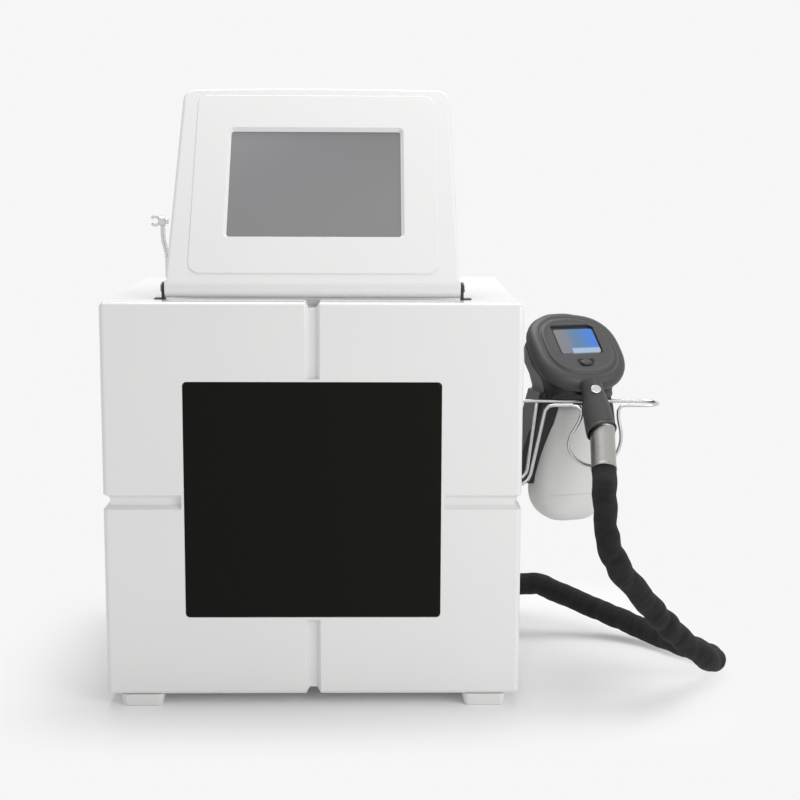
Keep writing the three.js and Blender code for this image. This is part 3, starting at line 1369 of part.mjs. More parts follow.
const machine = new THREE.Group();
machine.name = 'cryolipolysis_machine';
machine.add(
  piece('front_cover', frontCover(), whiteGloss),
  piece('window_panel', windowPanel(), blackAcrylic),
  piece('left_side_panel', sidePanel(-1), whitePaint),
  piece('right_side_panel', sidePanel(1, glandHole()), whitePaint),
  piece('top_cover', topCover(), whitePaint),
  piece('base_pan', basePan(), aluminium),
  piece('rear_panel', rearCover(), whitePaint),
  piece('foot_front_left', foot(-footX, footFront), whitePaint),
  piece('foot_front_right', foot(footX, footFront), whitePaint),
  piece('foot_rear_left', foot(-footX, footRear), whitePaint),
  piece('foot_rear_right', foot(footX, footRear), whitePaint),
  piece('equipment_shelf', equipmentShelf(), aluminium),
  consoleGroup,
  piece('hinge_cheek_left', hingeCheek(-1), blackPlastic),
  piece('hinge_cheek_right', hingeCheek(1), blackPlastic),
  piece('hinge_pin_left', hingePin(-1), brushedSteel),
  piece('hinge_pin_right', hingePin(1), brushedSteel),
  piece('water_tank', waterTank(), natural),
  piece('fill_port', waterPort(fillRise), natural),
  piece('fill_cap', waterCap(fillRise), blackPlastic),
  piece('drain_port', waterPort(drainRise), natural),
  piece('drain_cap', waterCap(drainRise), blackPlastic),
  piece('water_pump', waterPump(), blackPlastic),
  piece('radiator', radiator(), aluminium),
  piece('fan_frame', fanFrame(), blackPlastic),
  piece('fan_rotor', fanRotor(), blackPlastic),
  piece('fan_guard', fanGuard(), chrome),
  piece('power_inlet', powerInlet(), blackPlastic),
  piece('switch_frame', switchFrame(), blackPlastic),
  piece('power_rocker', rocker(), blackPlastic),
  piece('power_supply', powerSupply(), aluminium),
  piece('control_board', controlBoard(), greenBoard),
  piece('vacuum_pump', vacuumPump(), aluminium),
  piece('hose_gland', hoseGland(), blackPlastic),
  piece('holder_plate', holderPlate(), chrome),
  piece('holder_rear_bar', rearBar(), chrome),
  piece('holder_end_bend', endBend(), chrome),
  piece('holder_throat', throat(), chrome),
  piece('holder_front_arm', frontArm(), chrome),
  piece('holder_rear_strut', rearStrut(), chrome),
  handpiece,
  piece('hanger_socket', hangerSocket(), blackPlastic),
  piece('hanger_arm', hangerArm(), chrome),
  piece('hanger_clip', hangerClip(), chrome),
);

machine.updateMatrixWorld(true);
const middle = new THREE.Box3().setFromObject(machine, true).getCenter(new THREE.Vector3());
machine.add(piece('hose', hose(handpiece.matrix), blackFabric));
machine.position.set(-middle.x, -middle.y, 0);

const whole = new THREE.Group();
whole.add(machine);

export default whole;
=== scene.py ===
# %% [markdown]
# # A cryolipolysis machine, dressed for its picture
# The solids of this machine come ready made, each piece in its own place. Here they are
# given real surfaces: gloss plastic, bent steel wire, a cloth-covered hose and a grey handpiece.
# Everything is in metres, with +X to the right of the front, +Y to the back and +Z up.

# %% Load the machine
import json
import math
import bpy
from mathutils import Matrix, Vector


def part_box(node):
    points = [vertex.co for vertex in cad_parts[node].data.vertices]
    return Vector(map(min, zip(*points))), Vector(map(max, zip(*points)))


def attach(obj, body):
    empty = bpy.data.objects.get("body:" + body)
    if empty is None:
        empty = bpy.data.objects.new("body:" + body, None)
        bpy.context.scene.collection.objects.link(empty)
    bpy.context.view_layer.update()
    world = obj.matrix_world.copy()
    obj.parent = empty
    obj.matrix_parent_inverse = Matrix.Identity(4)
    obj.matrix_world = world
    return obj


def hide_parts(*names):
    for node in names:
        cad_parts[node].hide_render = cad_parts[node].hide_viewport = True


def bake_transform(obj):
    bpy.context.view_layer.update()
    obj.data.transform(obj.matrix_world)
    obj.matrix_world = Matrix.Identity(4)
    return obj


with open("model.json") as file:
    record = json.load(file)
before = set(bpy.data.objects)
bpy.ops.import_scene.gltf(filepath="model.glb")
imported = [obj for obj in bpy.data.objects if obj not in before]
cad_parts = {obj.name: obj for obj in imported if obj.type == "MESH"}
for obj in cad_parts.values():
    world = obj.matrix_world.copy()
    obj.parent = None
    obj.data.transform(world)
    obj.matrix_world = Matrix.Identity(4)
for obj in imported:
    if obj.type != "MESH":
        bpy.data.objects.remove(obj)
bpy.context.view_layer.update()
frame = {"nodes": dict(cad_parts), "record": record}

low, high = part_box("front_cover")
MIDDLE = (low.x + high.x) / 2
FRONT = low.y
TOP = high.z
BOTTOM = low.z
MM = 0.001
print("pieces:", len(frame["nodes"]), "cabinet top at", round(TOP, 4))


def spot(x, y, z):
    """A place in millimetres from the middle of the cabinet's front, on the floor."""
    return Vector((MIDDLE + x * MM, FRONT + y * MM, z * MM))


# %% [markdown]
# ## The camera
# The picture is taken from a little above the table and almost two metres in front, with a long
# lens, so that the upright edges stay nearly parallel. The place and the turn were fitted to the
# corners of the cabinet and of the screen.

# %% Camera
CAMERA_PLACE = spot(68.4, -1870.6, 668.7)
TURN, LOOK_DOWN, ROLL = (math.radians(angle) for angle in (-1.083, 8.835, 0.242))
lens = bpy.data.cameras.new("camera")
lens.lens = 72
lens.sensor_width = 36
lens.clip_start = 0.05
camera = bpy.data.objects.new("camera", lens)
bpy.context.scene.collection.objects.link(camera)
bpy.context.scene.camera = camera
camera.matrix_world = (Matrix.Translation(CAMERA_PLACE)
                       @ Matrix.Rotation(TURN, 4, "Z")
                       @ Matrix.Rotation(math.radians(90) - LOOK_DOWN, 4, "X")
                       @ Matrix.Rotation(ROLL, 4, "Z"))
print("camera at", [round(v, 3) for v in camera.matrix_world.translation])

# %% [markdown]
# ## The hose
# A corrugated plastic hose in a black fabric sleeve leaves the steel ferrule, drops to the table,
# turns in a tight loop and runs back to the gland in the side wall. The sleeve is a little too wide
# for the hose, so it bunches into folds that wind round it. Cloth could be simulated, but a real
# sleeve's folds are regular enough to be drawn. The middle line comes first: the same route points
# as the solid's, joined by one smooth curve. A tube of rings then follows that line.

# %% Hose route
EXIT = spot(353.17, 35.74, 285.9)
RUN = Vector((-0.0399, -0.6612, -0.7492)).normalized()
ENTRY = spot(274.3, 303, 70)
HOSE_RADIUS = 15 * MM
ROUTE = [[351.5, 6, 238], [354, 2, 211], [363, 4, 184], [378, 12, 160], [396, 23, 138],
         [414, 35, 115], [433, 48, 93], [455, 64, 69], [479, 81, 46], [499, 96, 30], [513, 115, 19.5],
         [518, 140, 16], [511, 166, 15.6], [495, 189, 15.6], [477, 210, 15.6], [455, 240, 17.5],
         [424, 268, 26], [388, 288, 37], [353, 299, 50], [324, 303, 62]]
route = ([EXIT, EXIT + RUN * 2 * HOSE_RADIUS] + [spot(*p) for p in ROUTE]
         + [ENTRY + Vector((2 * HOSE_RADIUS, 0, 0)), ENTRY])


PARTS = 24


def smooth_line(places, step):
    """Points along a smooth curve through the places, a step apart."""
    ends = [2 * places[0] - places[1]] + places + [2 * places[-1] - places[-2]]
    fine = []
    for a, b, c, d in zip(ends, ends[1:], ends[2:], ends[3:]):
        t0, t1 = 0, (b - a).length ** 0.5
        t2 = t1 + (c - b).length ** 0.5
        t3 = t2 + (d - c).length ** 0.5
        for i in range(PARTS):
            t = t1 + (t2 - t1) * i / PARTS
            ab = a * ((t1 - t) / (t1 - t0)) + b * ((t - t0) / (t1 - t0))
            bc = b * ((t2 - t) / (t2 - t1)) + c * ((t - t1) / (t2 - t1))
            cd = c * ((t3 - t) / (t3 - t2)) + d * ((t - t2) / (t3 - t2))
            abc = ab * ((t2 - t) / (t2 - t0)) + bc * ((t - t0) / (t2 - t0))
            bcd = bc * ((t3 - t) / (t3 - t1)) + cd * ((t - t1) / (t3 - t1))
            fine.append(abc * ((t2 - t) / (t2 - t1)) + bcd * ((t - t1) / (t2 - t1)))
    fine.append(places[-1].copy())
    whole = sum((q - p).length for p, q in zip(fine, fine[1:]))
    count = max(2, round(whole / step))
    even, gone, left = [fine[0]], 0.0, whole / count
    for p, q in zip(fine, fine[1:]):
        span = (q - p).length
        while gone + span >= left and len(even) < count:
            even.append(p.lerp(q, (left - gone) / span))
            left += whole / count
        gone += span
    even.append(fine[-1])
    return even, whole


RING_STEP = 2 * MM
hose_line, hose_length = smooth_line(route, RING_STEP)
print("hose length", round(hose_length, 4), "m in", len(hose_line), "rings")

# %% [markdown]
# ## Folds of the sleeve
# Long creases wind round the hose, shorter ones cross them, a fine ripple runs over both, and the
# inside of a bend is gathered. Each is a sine wave of the distance along the hose and the angle
# round it. The stretch that lies on the table is pulled smoother than the one that hangs.

# %% Hose sleeve
CALM_FROM, CALM_OVER = 0.42, 0.12
RINGS_AROUND = 4
FULL_BEND = 0.35
FOLDS_GROW = 30
ABOVE_TABLE = 0.3 * MM


def fold(s, angle, bend, inside):
    """How far the sleeve stands out at a distance along the hose and an angle round it."""
    calm = 1 - 0.6 * min(1, max(0, (s - CALM_FROM) / CALM_OVER))
    twist = angle - 158 * s + 1.1 * math.sin(39 * s)
    roll = abs(math.sin(twist / 2)) * (0.75 + 0.25 * math.sin(57 * s + 0.6))
    cross = abs(math.sin((2 * angle + 74 * s + 1.3 * math.sin(83 * s)) / 2))
    ripple = math.sin(395 * s + 2.2 * math.sin(2 * angle + 11 * s))
    gather = 0.5 * bend * inside * math.sin(260 * s + 1.7 * math.sin(angle))
    return (calm * (3.0 * roll + 1.1 * cross - 2.4) + gather + 0.14 * ripple) * MM


def hose_sleeve(name, line, radius, sides):
    """A tube of rings along a line, with its own map of metres along and round."""
    ends = [2 * line[0] - line[1]] + line + [2 * line[-1] - line[-2]]
    runs = [(b - a).normalized() for a, b in zip(ends, ends[2:])]
    across = runs[0].orthogonal().normalized()
    verts, gone = [], 0.0
    for i, (place, run) in enumerate(zip(line, runs)):
        across = (across - run * across.dot(run)).normalized()
        up = run.cross(across)
        turn = runs[min(i + RINGS_AROUND, len(runs) - 1)] - runs[max(i - RINGS_AROUND, 0)]
        bend = min(1.0, turn.length / FULL_BEND)
        near = min(1.0, FOLDS_GROW * min(gone, hose_length - gone))
        for j in range(sides):
            angle = 2 * math.pi * j / sides
            out = across * math.cos(angle) + up * math.sin(angle)
            inside = out.dot(turn.normalized()) if turn.length > 1e-6 else 0
            skin = place + out * (radius + near * fold(gone, angle, bend, inside))
            skin.z = max(skin.z, ABOVE_TABLE)
            verts.append(skin)
        if i + 1 < len(line):
            gone += (line[i + 1] - place).length
    faces = [[i * sides + j, i * sides + (j + 1) % sides, (i + 1) * sides + (j + 1) % sides,
              (i + 1) * sides + j] for i in range(len(line) - 1) for j in range(sides)]
    faces.append(list(range(sides))[::-1])
    faces.append([(len(line) - 1) * sides + j for j in range(sides)])
    mesh = bpy.data.meshes.new(name)
    mesh.from_pydata(verts, [], faces)
    chart = mesh.uv_layers.new(name="UVMap")
    step = hose_length / (len(line) - 1)
    for face in mesh.polygons:
        for corner, vertex in zip(face.loop_indices, face.vertices):
            i, j = divmod(vertex, sides)
            wrap = j == 0 and len(face.vertices) == 4 and sides - 1 in [v % sides for v in face.vertices]
            around = 1 if wrap else j / sides
            chart.data[corner].uv = (around * 2 * math.pi * radius, i * step)
    piece = bpy.data.objects.new(name, mesh)
    bpy.context.scene.collection.objects.link(piece)
    for face in mesh.polygons:
        face.use_smooth = len(face.vertices) == 4
    return piece


hose = hose_sleeve("hose_sleeve", hose_line, HOSE_RADIUS, 48)
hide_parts("hose")
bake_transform(hose)
hose_line[::4] + [hose_line[-1]]
print("sleeve faces:", len(hose.data.polygons))

# %% [markdown]
# ## A short way to write finishes
# A finish is a small net of nodes. Made one by one, each sum in it takes four lines. A class that
# wraps one output lets a sum be written as a sum, and one method adds any other node with its
# settings and its inputs, so a whole finish fits in a few lines.

# %% Shader helper
class Value:
    """One output of a node, which can be used in sums."""

    def __init__(self, paint, socket):
        self.paint, self.socket = paint, socket

    def maths(self, operation, *values):
        return self.paint.node("ShaderNodeMath", {"operation": operation}, dict(enumerate(values)))

    def __add__(self, other):
        return self.maths("ADD", self, other)

    def __sub__(self, other):
        return self.maths("SUBTRACT", self, other)

    def __rsub__(self, other):
        return self.maths("SUBTRACT", other, self)

    def __mul__(self, other):
        return self.maths("MULTIPLY", self, other)

    def __pow__(self, other):
        return self.maths("POWER", self, other)

    def __abs__(self):
        return self.maths("ABSOLUTE", self)

    def wave(self):
        return self.maths("SINE", self)

    def no_less(self, least):
        return self.maths("MAXIMUM", self, least)

    def above(self, edge):
        return self.maths("GREATER_THAN", self, edge)

    def ramp(self, start, end, low=0.0, high=1.0):
        """Runs from low to high while the value runs from start to end."""
        settings = {"clamp": True, "interpolation_type": "SMOOTHSTEP"}
        sockets = {"Value": self, "From Min": start, "From Max": end, "To Min": low, "To Max": high}
        return self.paint.node("ShaderNodeMapRange", settings, sockets)

    __radd__ = __add__
    __rmul__ = __mul__


class Paint:
    """A material in the making, with one way to add any node."""

    def __init__(self, name, tree=None):
        if tree is None:
            self.material = bpy.data.materials.new(name)
            self.material.use_nodes = True
            tree = self.material.node_tree
        self.tree = tree
        tree.nodes.clear()

    def node(self, kind, settings=None, sockets=None, out=0):
        """Adds a node with its settings and its inputs, and gives one of its outputs."""
        made = self.tree.nodes.new(kind)
        for key, setting in (settings or {}).items():
            setattr(made, key, setting)
        for key, given in (sockets or {}).items():
            if isinstance(given, Value):
                self.tree.links.new(given.socket, made.inputs[key])
            else:
                made.inputs[key].default_value = given
        return Value(self, made.outputs[out])

    def place(self, kind="Object"):
        return self.node("ShaderNodeTexCoord", out=kind)

    def along(self, place, direction):
        """How far a place lies along a direction."""
        return self.node("ShaderNodeVectorMath", {"operation": "DOT_PRODUCT"},
                         {0: place, 1: direction}, "Value")

    def noise(self, place, scale, detail=2.0, stretch=None):
        if stretch:
            place = self.node("ShaderNodeVectorMath", {"operation": "MULTIPLY"},
                              {0: place, 1: stretch}, "Vector")
        return self.node("ShaderNodeTexNoise", None,
                         {"Vector": place, "Scale": scale, "Detail": detail}, "Fac")

    def mix(self, factor, first, second):
        return self.node("ShaderNodeMix", {"data_type": "RGBA", "clamp_factor": True},
                         {"Factor": factor, 6: first, 7: second}, 2)

    def bump(self, height, depth):
        return self.node("ShaderNodeBump", None,
                         {"Height": height, "Distance": depth, "Strength": 1.0}, "Normal")

    def finish(self, **sockets):
        """Ends the material in one principled surface."""
        given = {key.replace("_", " "): value for key, value in sockets.items()}
        surface = self.node("ShaderNodeBsdfPrincipled", None, given, "BSDF")
        self.node_output(surface)
        return self.material

    def node_output(self, surface, kind="ShaderNodeOutputMaterial"):
        end = self.tree.nodes.new(kind)
        self.tree.links.new(surface.socket, end.inputs["Surface"])


def shade(red, green, blue):
    return (red, green, blue, 1.0)


# %% [markdown]
# ## Floor and light
# The machine stands on a seamless white table in a bright white room. The floor is a plain matt
# sheet that keeps the shadow under the feet and fades into the white of the room further out.
# One broad lamp hangs above and a little behind, so that a soft shadow falls to the front, and a
# second one stands in front on the right, which makes the right-hand tiles the brighter ones.

# %% Room light
world = bpy.data.worlds.new("room")
bpy.context.scene.world = world
world.use_nodes = True
room = Paint("room", world.node_tree)
rays = room.node("ShaderNodeLightPath", out="Is Camera Ray")
glossy = Value(room, rays.socket.node.outputs["Is Glossy Ray"])
through = Value(room, rays.socket.node.outputs["Is Transmission Ray"])
seen = (rays + glossy + through).ramp(0, 1)
BACKGROUND = 0.922
ROOM_LIGHT = 0.50
strength = seen * (BACKGROUND - ROOM_LIGHT) + ROOM_LIGHT
room.node_output(room.node("ShaderNodeBackground", None,
                           {"Color": shade(1, 1, 1), "Strength": strength}, "Background"),
                 "ShaderNodeOutputWorld")


def lamp(name, size, power, place, target):
    """A square soft lamp that faces a target."""
    light = bpy.data.lights.new(name, "AREA")
    light.shape, light.size, light.energy = "SQUARE", size, power
    holder = bpy.data.objects.new(name, light)
    bpy.context.scene.collection.objects.link(holder)
    holder.location = place
    holder.rotation_euler = (target - place).to_track_quat("-Z", "Y").to_euler()


# %% Lamps
AIM = spot(0, 150, 400)
LAMPS = (("lamp_above", 1.2, 22, (0.05, 0.45, 1.6)),
         ("lamp_right", 1.0, 9.5, (1.1, -1.15, 0.4)))
bpy.context.scene.view_settings.view_transform = "Standard"
for name, size, power, offset in LAMPS:
    lamp(name, size, power, AIM + Vector(offset), AIM)
print("lamps:", len(bpy.data.lights))

# %% Floor
FLOOR_SIZE = 12
FLOOR_PLACE = (MIDDLE, 1.0, -0.0002)
SHADOW_ACROSS = (0.06, 0.31)
SHADOW_DEEP = (-1.01, 0.215)
FADE_FROM, FADE_TO = 0.01, 0.19
LEAST_GLOW = 0.06


def beyond(paint, direction, middle, half):
    """How far a point of the floor lies outside a stretch with its middle and half its length."""
    return (abs(paint.along(paint.place(), direction) - middle) - half).no_less(0)


bpy.ops.object.select_all(action="DESELECT")
bpy.ops.mesh.primitive_grid_add(x_subdivisions=2, y_subdivisions=2, size=FLOOR_SIZE,
                                location=FLOOR_PLACE)
floor = bpy.context.object
floor.name = "floor"
paint = Paint("floor_sheet")
aside = beyond(paint, (1, 0, 0), *SHADOW_ACROSS)
ahead = beyond(paint, (0, 1, 0), *SHADOW_DEEP)
far = ((aside * aside + ahead * ahead) ** 0.5).ramp(FADE_FROM, FADE_TO, LEAST_GLOW, 1)
matt = paint.node("ShaderNodeBsdfDiffuse", None, {"Color": shade(0.96, 0.96, 0.96)}, "BSDF")
glow = paint.node("ShaderNodeEmission", None,
                  {"Color": shade(1, 1, 1), "Strength": BACKGROUND}, "Emission")
paint.node_output(paint.node("ShaderNodeMixShader", None, {"Fac": far, 1: matt, 2: glow}, "Shader"))
floor.data.materials.append(paint.material)
print("floor:", FLOOR_SIZE, "m wide")

# %% [markdown]
# ## Finishes
# Each finish is mixed from a few patterns at the scale of the real surface. The front cover is
# gloss moulded plastic, the casing is painted sheet steel with a faint orange peel, and the leaning
# head is a plainer moulding. They differ in gloss and grain alone, so one function mixes all three.

# %% White plastic and paint
def white_plastic(name, roughness, grain, tone):
    paint = Paint(name)
    place = paint.place()
    peel = paint.noise(place, grain, 3)
    cloud = paint.noise(place, 7, 2)
    color = paint.mix(cloud, shade(tone, tone, tone * 0.99),
                      shade(tone * 0.97, tone * 0.972, tone * 0.97))
    return paint.finish(Base_Color=color, Roughness=cloud * 0.06 + roughness, IOR=1.5,
                        Normal=paint.bump(peel, 0.00004))


gloss_white = white_plastic("gloss_white_plastic", 0.10, 260, 0.80)
painted_white = white_plastic("white_painted_steel", 0.33, 620, 0.78)
matt_white = white_plastic("white_moulded_plastic", 0.42, 1100, 0.78)

# %% [markdown]
# ## Where the handpiece hangs
# The handpiece is turned in its holder, and the front of its head is tipped towards the person who
# holds it. A frame for the whole handpiece and a frame for that front let everything on them be
# given by its distance across, up and out, as on a drawing.

# %% Frames of the handpiece
HAND_TURN = math.radians(18)
FRONT_TIP = math.radians(40)
HAND = Matrix.Translation(spot(334, 143, 357)) @ Matrix.Rotation(HAND_TURN, 4, "Z")
FACE = HAND @ Matrix.Translation(Vector((0, 7.4, 73.7)) * MM) @ Matrix.Rotation(FRONT_TIP, 4, "X")
print("head of the handpiece at", [round(v, 3) for v in FACE.translation])

# %% [markdown]
# ## Dark plastics
# The handpiece is matt grey plastic with a fine moulded grain. The floor of the frame round its display is
# black. The black on the frame's sunk walls and in the dish of its button is painted shade. Extra pieces
# could carry the black, but they would need seams that the real one hides, so this finish turns black
# where the front is sunk.

# %% Dark and grey plastic
# Black for the display frame's floor, and painted shade on the sunk walls and in the button's dish.
POCKET_BLACK_AND_SHADE = shade(0.006, 0.006, 0.0065)
BELOW_FRONT = 0.8 * MM
FRAME_FLOOR = (28.8, 24.4, 2.45)
DISH_FLOOR = (10.5, 6.0, -37.2)


def grained_plastic(name, tone, roughness, grain, depth, sunk=None):
    paint = Paint(name)
    place = paint.place()
    fine = paint.noise(place, grain, 2)
    cloud = paint.noise(place, 22, 3)
    color = paint.mix(cloud, shade(*(t * 0.88 for t in tone)), shade(*(t * 1.15 for t in tone)))
    # Where the front is sunk: the frame's real black floor together with painted shade on the walls and in
    # the dish.
    if sunk:
        color = paint.mix(sunk(paint, place), color, POCKET_BLACK_AND_SHADE)
    return paint.finish(Base_Color=color, Roughness=fine * 0.12 + roughness,
                        Normal=paint.bump(fine, depth))


def black_and_shade_in_pockets(paint, place):
    """One where the head's front is sunk, round the display and under the button: black on the frame's
    floor, and painted shade on its walls and in the dish.
    """
    directions = [FACE.to_3x3() @ Vector(v) for v in ((1, 0, 0), (0, 1, 0), (0, 0, 1))]
    across, upward, out = (paint.along(place, way) - FACE.translation.dot(way) for way in directions)
    frame_floor, dish_floor = (
        (half_width * MM - abs(across)).above(0) * (half_height * MM - abs(upward - middle * MM)).above(0)
        for half_width, half_height, middle in (FRAME_FLOOR, DISH_FLOOR))
    below = (out * -1).above(-BELOW_FRONT)
    return below * paint.node("ShaderNodeMath", {"operation": "MAXIMUM"}, {0: frame_floor, 1: dish_floor})


GREY = ((0.042, 0.042, 0.043), 0.42, 2200, 0.00003)
soft_grey = grained_plastic("soft_grey_plastic", *GREY)
head_grey = grained_plastic("head_grey_plastic", *GREY, black_and_shade_in_pockets)
black_plastic = grained_plastic("black_plastic", (0.016, 0.016, 0.018), 0.40, 1500, 0.00004)
natural_plastic = grained_plastic("natural_plastic", (0.70, 0.70, 0.64), 0.34, 900, 0.00002)

# %% [markdown]
# ## Grip and cup
# The grip's colour is black in front and grey behind, and the line between them follows its narrow waist.
# It is drawn by depth and height in the handpiece's own directions. The cup is a frosted plastic that lets
# a little light in, with a haze and a very fine grain.

# %% Black and grey grip
backward = HAND.to_3x3() @ Vector((0, 1, 0))
paint = Paint("black_front_grey_back_grip")
place = paint.place()
deep = paint.along(place, backward) - HAND.translation.dot(backward)
rise = paint.along(place, (0, 0, 1)) - HAND.translation.z
seam = (rise * 0.82 - 0.0086).no_less(rise * -0.68 - 0.0128).no_less(0.012)
fine = paint.noise(place, 1900, 2)
dark_grip = paint.finish(
    # Black in front of the seam and light grey behind it.
    Base_Color=paint.mix((deep - seam).ramp(-0.0005, 0.0005), shade(0.0075, 0.0075, 0.008),
                         paint.mix(paint.noise(place, 22, 3), shade(0.17, 0.17, 0.168),
                                   shade(0.20, 0.20, 0.197))),
    Roughness=fine * 0.12 + 0.42, Normal=paint.bump(fine, 0.00004))

# %% Frosted cup
paint = Paint("frosted_cup_plastic")
place = paint.place()
haze = paint.noise(place, 45, 4)
frost = paint.noise(place, 1800, 2)
frosted = paint.finish(
    Base_Color=paint.mix(haze, shade(0.66, 0.655, 0.645), shade(0.72, 0.717, 0.708)),
    Roughness=haze * 0.15 + 0.34, Subsurface_Weight=0.25, Subsurface_Radius=(1, 1, 1),
    Subsurface_Scale=0.004, Normal=paint.bump(frost, 0.00003))

# %% [markdown]
# ## Glass
# The window is black acrylic, the screen is grey glass over a dark panel with painted reflection in soft
# lighter patches, and the small display of the handpiece is lit. A display's picture could be an image
# file. Here it is a few soft patches of colour and a pale strip, which is all that can be made out from
# where the picture is taken.

# %% Window
paint = Paint("black_acrylic")
place = paint.place()
smear = paint.noise(place, 16, 5)
black_acrylic = paint.finish(
    # The plate's colour runs a shade lighter and greener towards the right.
    Base_Color=paint.mix(paint.along(place, (1, 0, 0)).ramp(-0.24, 0.06),
                         shade(0.0052, 0.0052, 0.0042), shade(0.0064, 0.0072, 0.0046)),
    Roughness=smear * 0.07 + 0.03, Specular_IOR_Level=0.08)

# %% Screen
GLARE_DIAGONAL = Vector((0.6, 0, -0.8))
screen_low, screen_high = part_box("touch_screen")
paint = Paint("screen_glass")
place = paint.place()
# The lighter top, the lighter left side and the two lighter opposite corners are painted reflection on the
# glass. The fine rows are the screen's pixel grid.
top_glare = paint.along(place, (0, 0, 1)).ramp(0.56, 0.70)
wide = paint.along(place, (1, 0, 0)).ramp(-0.20, 0.02)
rows = (paint.along(place, (0, 0, 1)) * 9000).wave() * (paint.along(place, (1, 0, 0)) * 7200).wave()
glare_distance = abs(paint.along(place, GLARE_DIAGONAL) - ((screen_low + screen_high) / 2).dot(GLARE_DIAGONAL))
glared_screen = paint.mix(wide, shade(0.235, 0.235, 0.252), shade(0.205, 0.205, 0.21))
glared_screen = paint.mix(glare_distance.ramp(0.03, 0.13), glared_screen, shade(0.29, 0.292, 0.305))
screen_glass = paint.finish(
    Base_Color=paint.mix(rows * 0.04 + 0.04, paint.mix(top_glare * 0.6, shade(0.24, 0.24, 0.245), glared_screen),
                         shade(0.12, 0.12, 0.125)),
    Roughness=paint.noise(place, 30, 4) * 0.08 + 0.08, Specular_IOR_Level=0.35)

# %% Small display
SLANT = Vector((1, 0.3, 0))
MARGIN = 4 * MM
STRIP_TOP, STRIP_EDGE = 7.5 * MM, 2 * MM
near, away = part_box("handpiece_display")
paint = Paint("small_display")
place = paint.place()
wide = paint.along(place, SLANT).ramp(near.dot(SLANT) + MARGIN, away.dot(SLANT) - MARGIN)
strip = paint.along(place, (0, 0, 1)).ramp(near.z + STRIP_TOP, near.z + STRIP_TOP - STRIP_EDGE)
picture = paint.mix(wide.ramp(0.0, 0.55), shade(0.21, 0.20, 0.215), shade(0.085, 0.20, 0.36))
picture = paint.mix(wide.ramp(0.5, 1.0), picture, shade(0.045, 0.19, 0.66))
picture = paint.mix(strip * wide.above(0.25), picture, shade(0.36, 0.47, 0.62))
small_display = paint.finish(Base_Color=paint.mix(0.6, picture, shade(0.01, 0.012, 0.02)),
                             Roughness=paint.noise(place, 60, 3) * 0.06 + 0.06,
                             Emission_Color=picture, Emission_Strength=0.55)

# %% [markdown]
# ## Metals
# The ferrule is turned and brushed, the holder is polished wire, and the parts inside are bare
# aluminium and zinc-coated sheet. Fine lines drawn across one direction make the brushing, and
# large crystals make the zinc. The boards inside get a plain grid of tracks.

# %% Metals
def bare_metal(name, tone, roughness, direction, lines, depth):
    """Metal with fine lines drawn across one direction."""
    paint = Paint(name)
    place = paint.place()
    stroke = paint.node("ShaderNodeTexNoise", {"noise_dimensions": "1D"},
                        {"W": paint.along(place, direction) * lines, "Scale": 1.0, "Detail": 3.0}, "Fac")
    cloud = paint.noise(place, 40, 3)
    color = paint.mix(stroke, shade(*(t * 0.86 for t in tone)), shade(*tone))
    return paint.finish(Base_Color=color, Metallic=1.0, Normal=paint.bump(stroke, depth),
                        Roughness=stroke * 0.12 + cloud * 0.08 + roughness)


turned_steel = bare_metal("turned_steel", (0.43, 0.42, 0.40), 0.20, tuple(RUN), 2600, 0.00001)
polished_wire = bare_metal("polished_wire", (0.66, 0.66, 0.665), 0.10, (0.5, 0.5, 0.7), 900, 0.000004)
aluminium = bare_metal("aluminium", (0.70, 0.70, 0.71), 0.26, (1, 0, 0), 1800, 0.00001)

# %% Zinc-coated sheet and circuit board
paint = Paint("galvanised_sheet")
place = paint.place()
flower = paint.node("ShaderNodeTexVoronoi", None, {"Vector": place, "Scale": 110.0}, "Color")
galvanised = paint.finish(Base_Color=paint.mix(paint.along(flower, (0.4, 0.4, 0.2)),
                                               shade(0.46, 0.47, 0.49), shade(0.64, 0.65, 0.66)),
                          Metallic=0.9, Roughness=paint.along(flower, (0.12, 0.05, 0)) + 0.3)

paint = Paint("circuit_board")
place = paint.place()
tracks = paint.node("ShaderNodeTexBrick", {"offset": 0.35},
                    {"Vector": place, "Scale": 160.0, "Mortar Size": 0.03,
                     "Color1": shade(0.012, 0.12, 0.05), "Color2": shade(0.016, 0.16, 0.07),
                     "Mortar": shade(0.03, 0.25, 0.11)}, "Color")
circuit_board = paint.finish(Base_Color=tracks, Roughness=paint.noise(place, 200, 2) * 0.1 + 0.3)

# %% [markdown]
# ## Woven sleeve
# The hose wears a tight black cloth, whose threads cross every 1.3 mm. They have to follow the
# hose, so this finish reads the sleeve's own map, in metres round and along it, and not its place
# in the room. Stretched noise adds the small creases, and a faint sheen the loose fibres.

# %% Woven sleeve
THREAD = 1.3 * MM
paint = Paint("woven_sleeve")
chart = paint.place("UV")
crossing = [(paint.along(chart, way) * (2 * math.pi / THREAD)).wave() for way in ((1, 0, 0), (0, 1, 0))]
weave = crossing[0] * crossing[1]
creases = paint.noise(chart, 1.0, 4, stretch=(26, 95, 1))
hair = paint.noise(paint.place(), 900, 3)
cloth = paint.mix(weave.ramp(-0.8, 0.8), shade(0.004, 0.004, 0.0045), shade(0.012, 0.012, 0.0125))
woven_sleeve = paint.finish(
    Base_Color=paint.mix(creases.ramp(0.35, 0.7), cloth, shade(0.016, 0.016, 0.0165)),
    Roughness=hair * 0.15 + 0.68, Sheen_Weight=0.05, Sheen_Roughness=0.4, Specular_IOR_Level=0.25,
    Normal=paint.bump(weave * 0.12 + creases * 1.1 + hair * 0.05, 0.0022))
hose.data.materials.append(woven_sleeve)

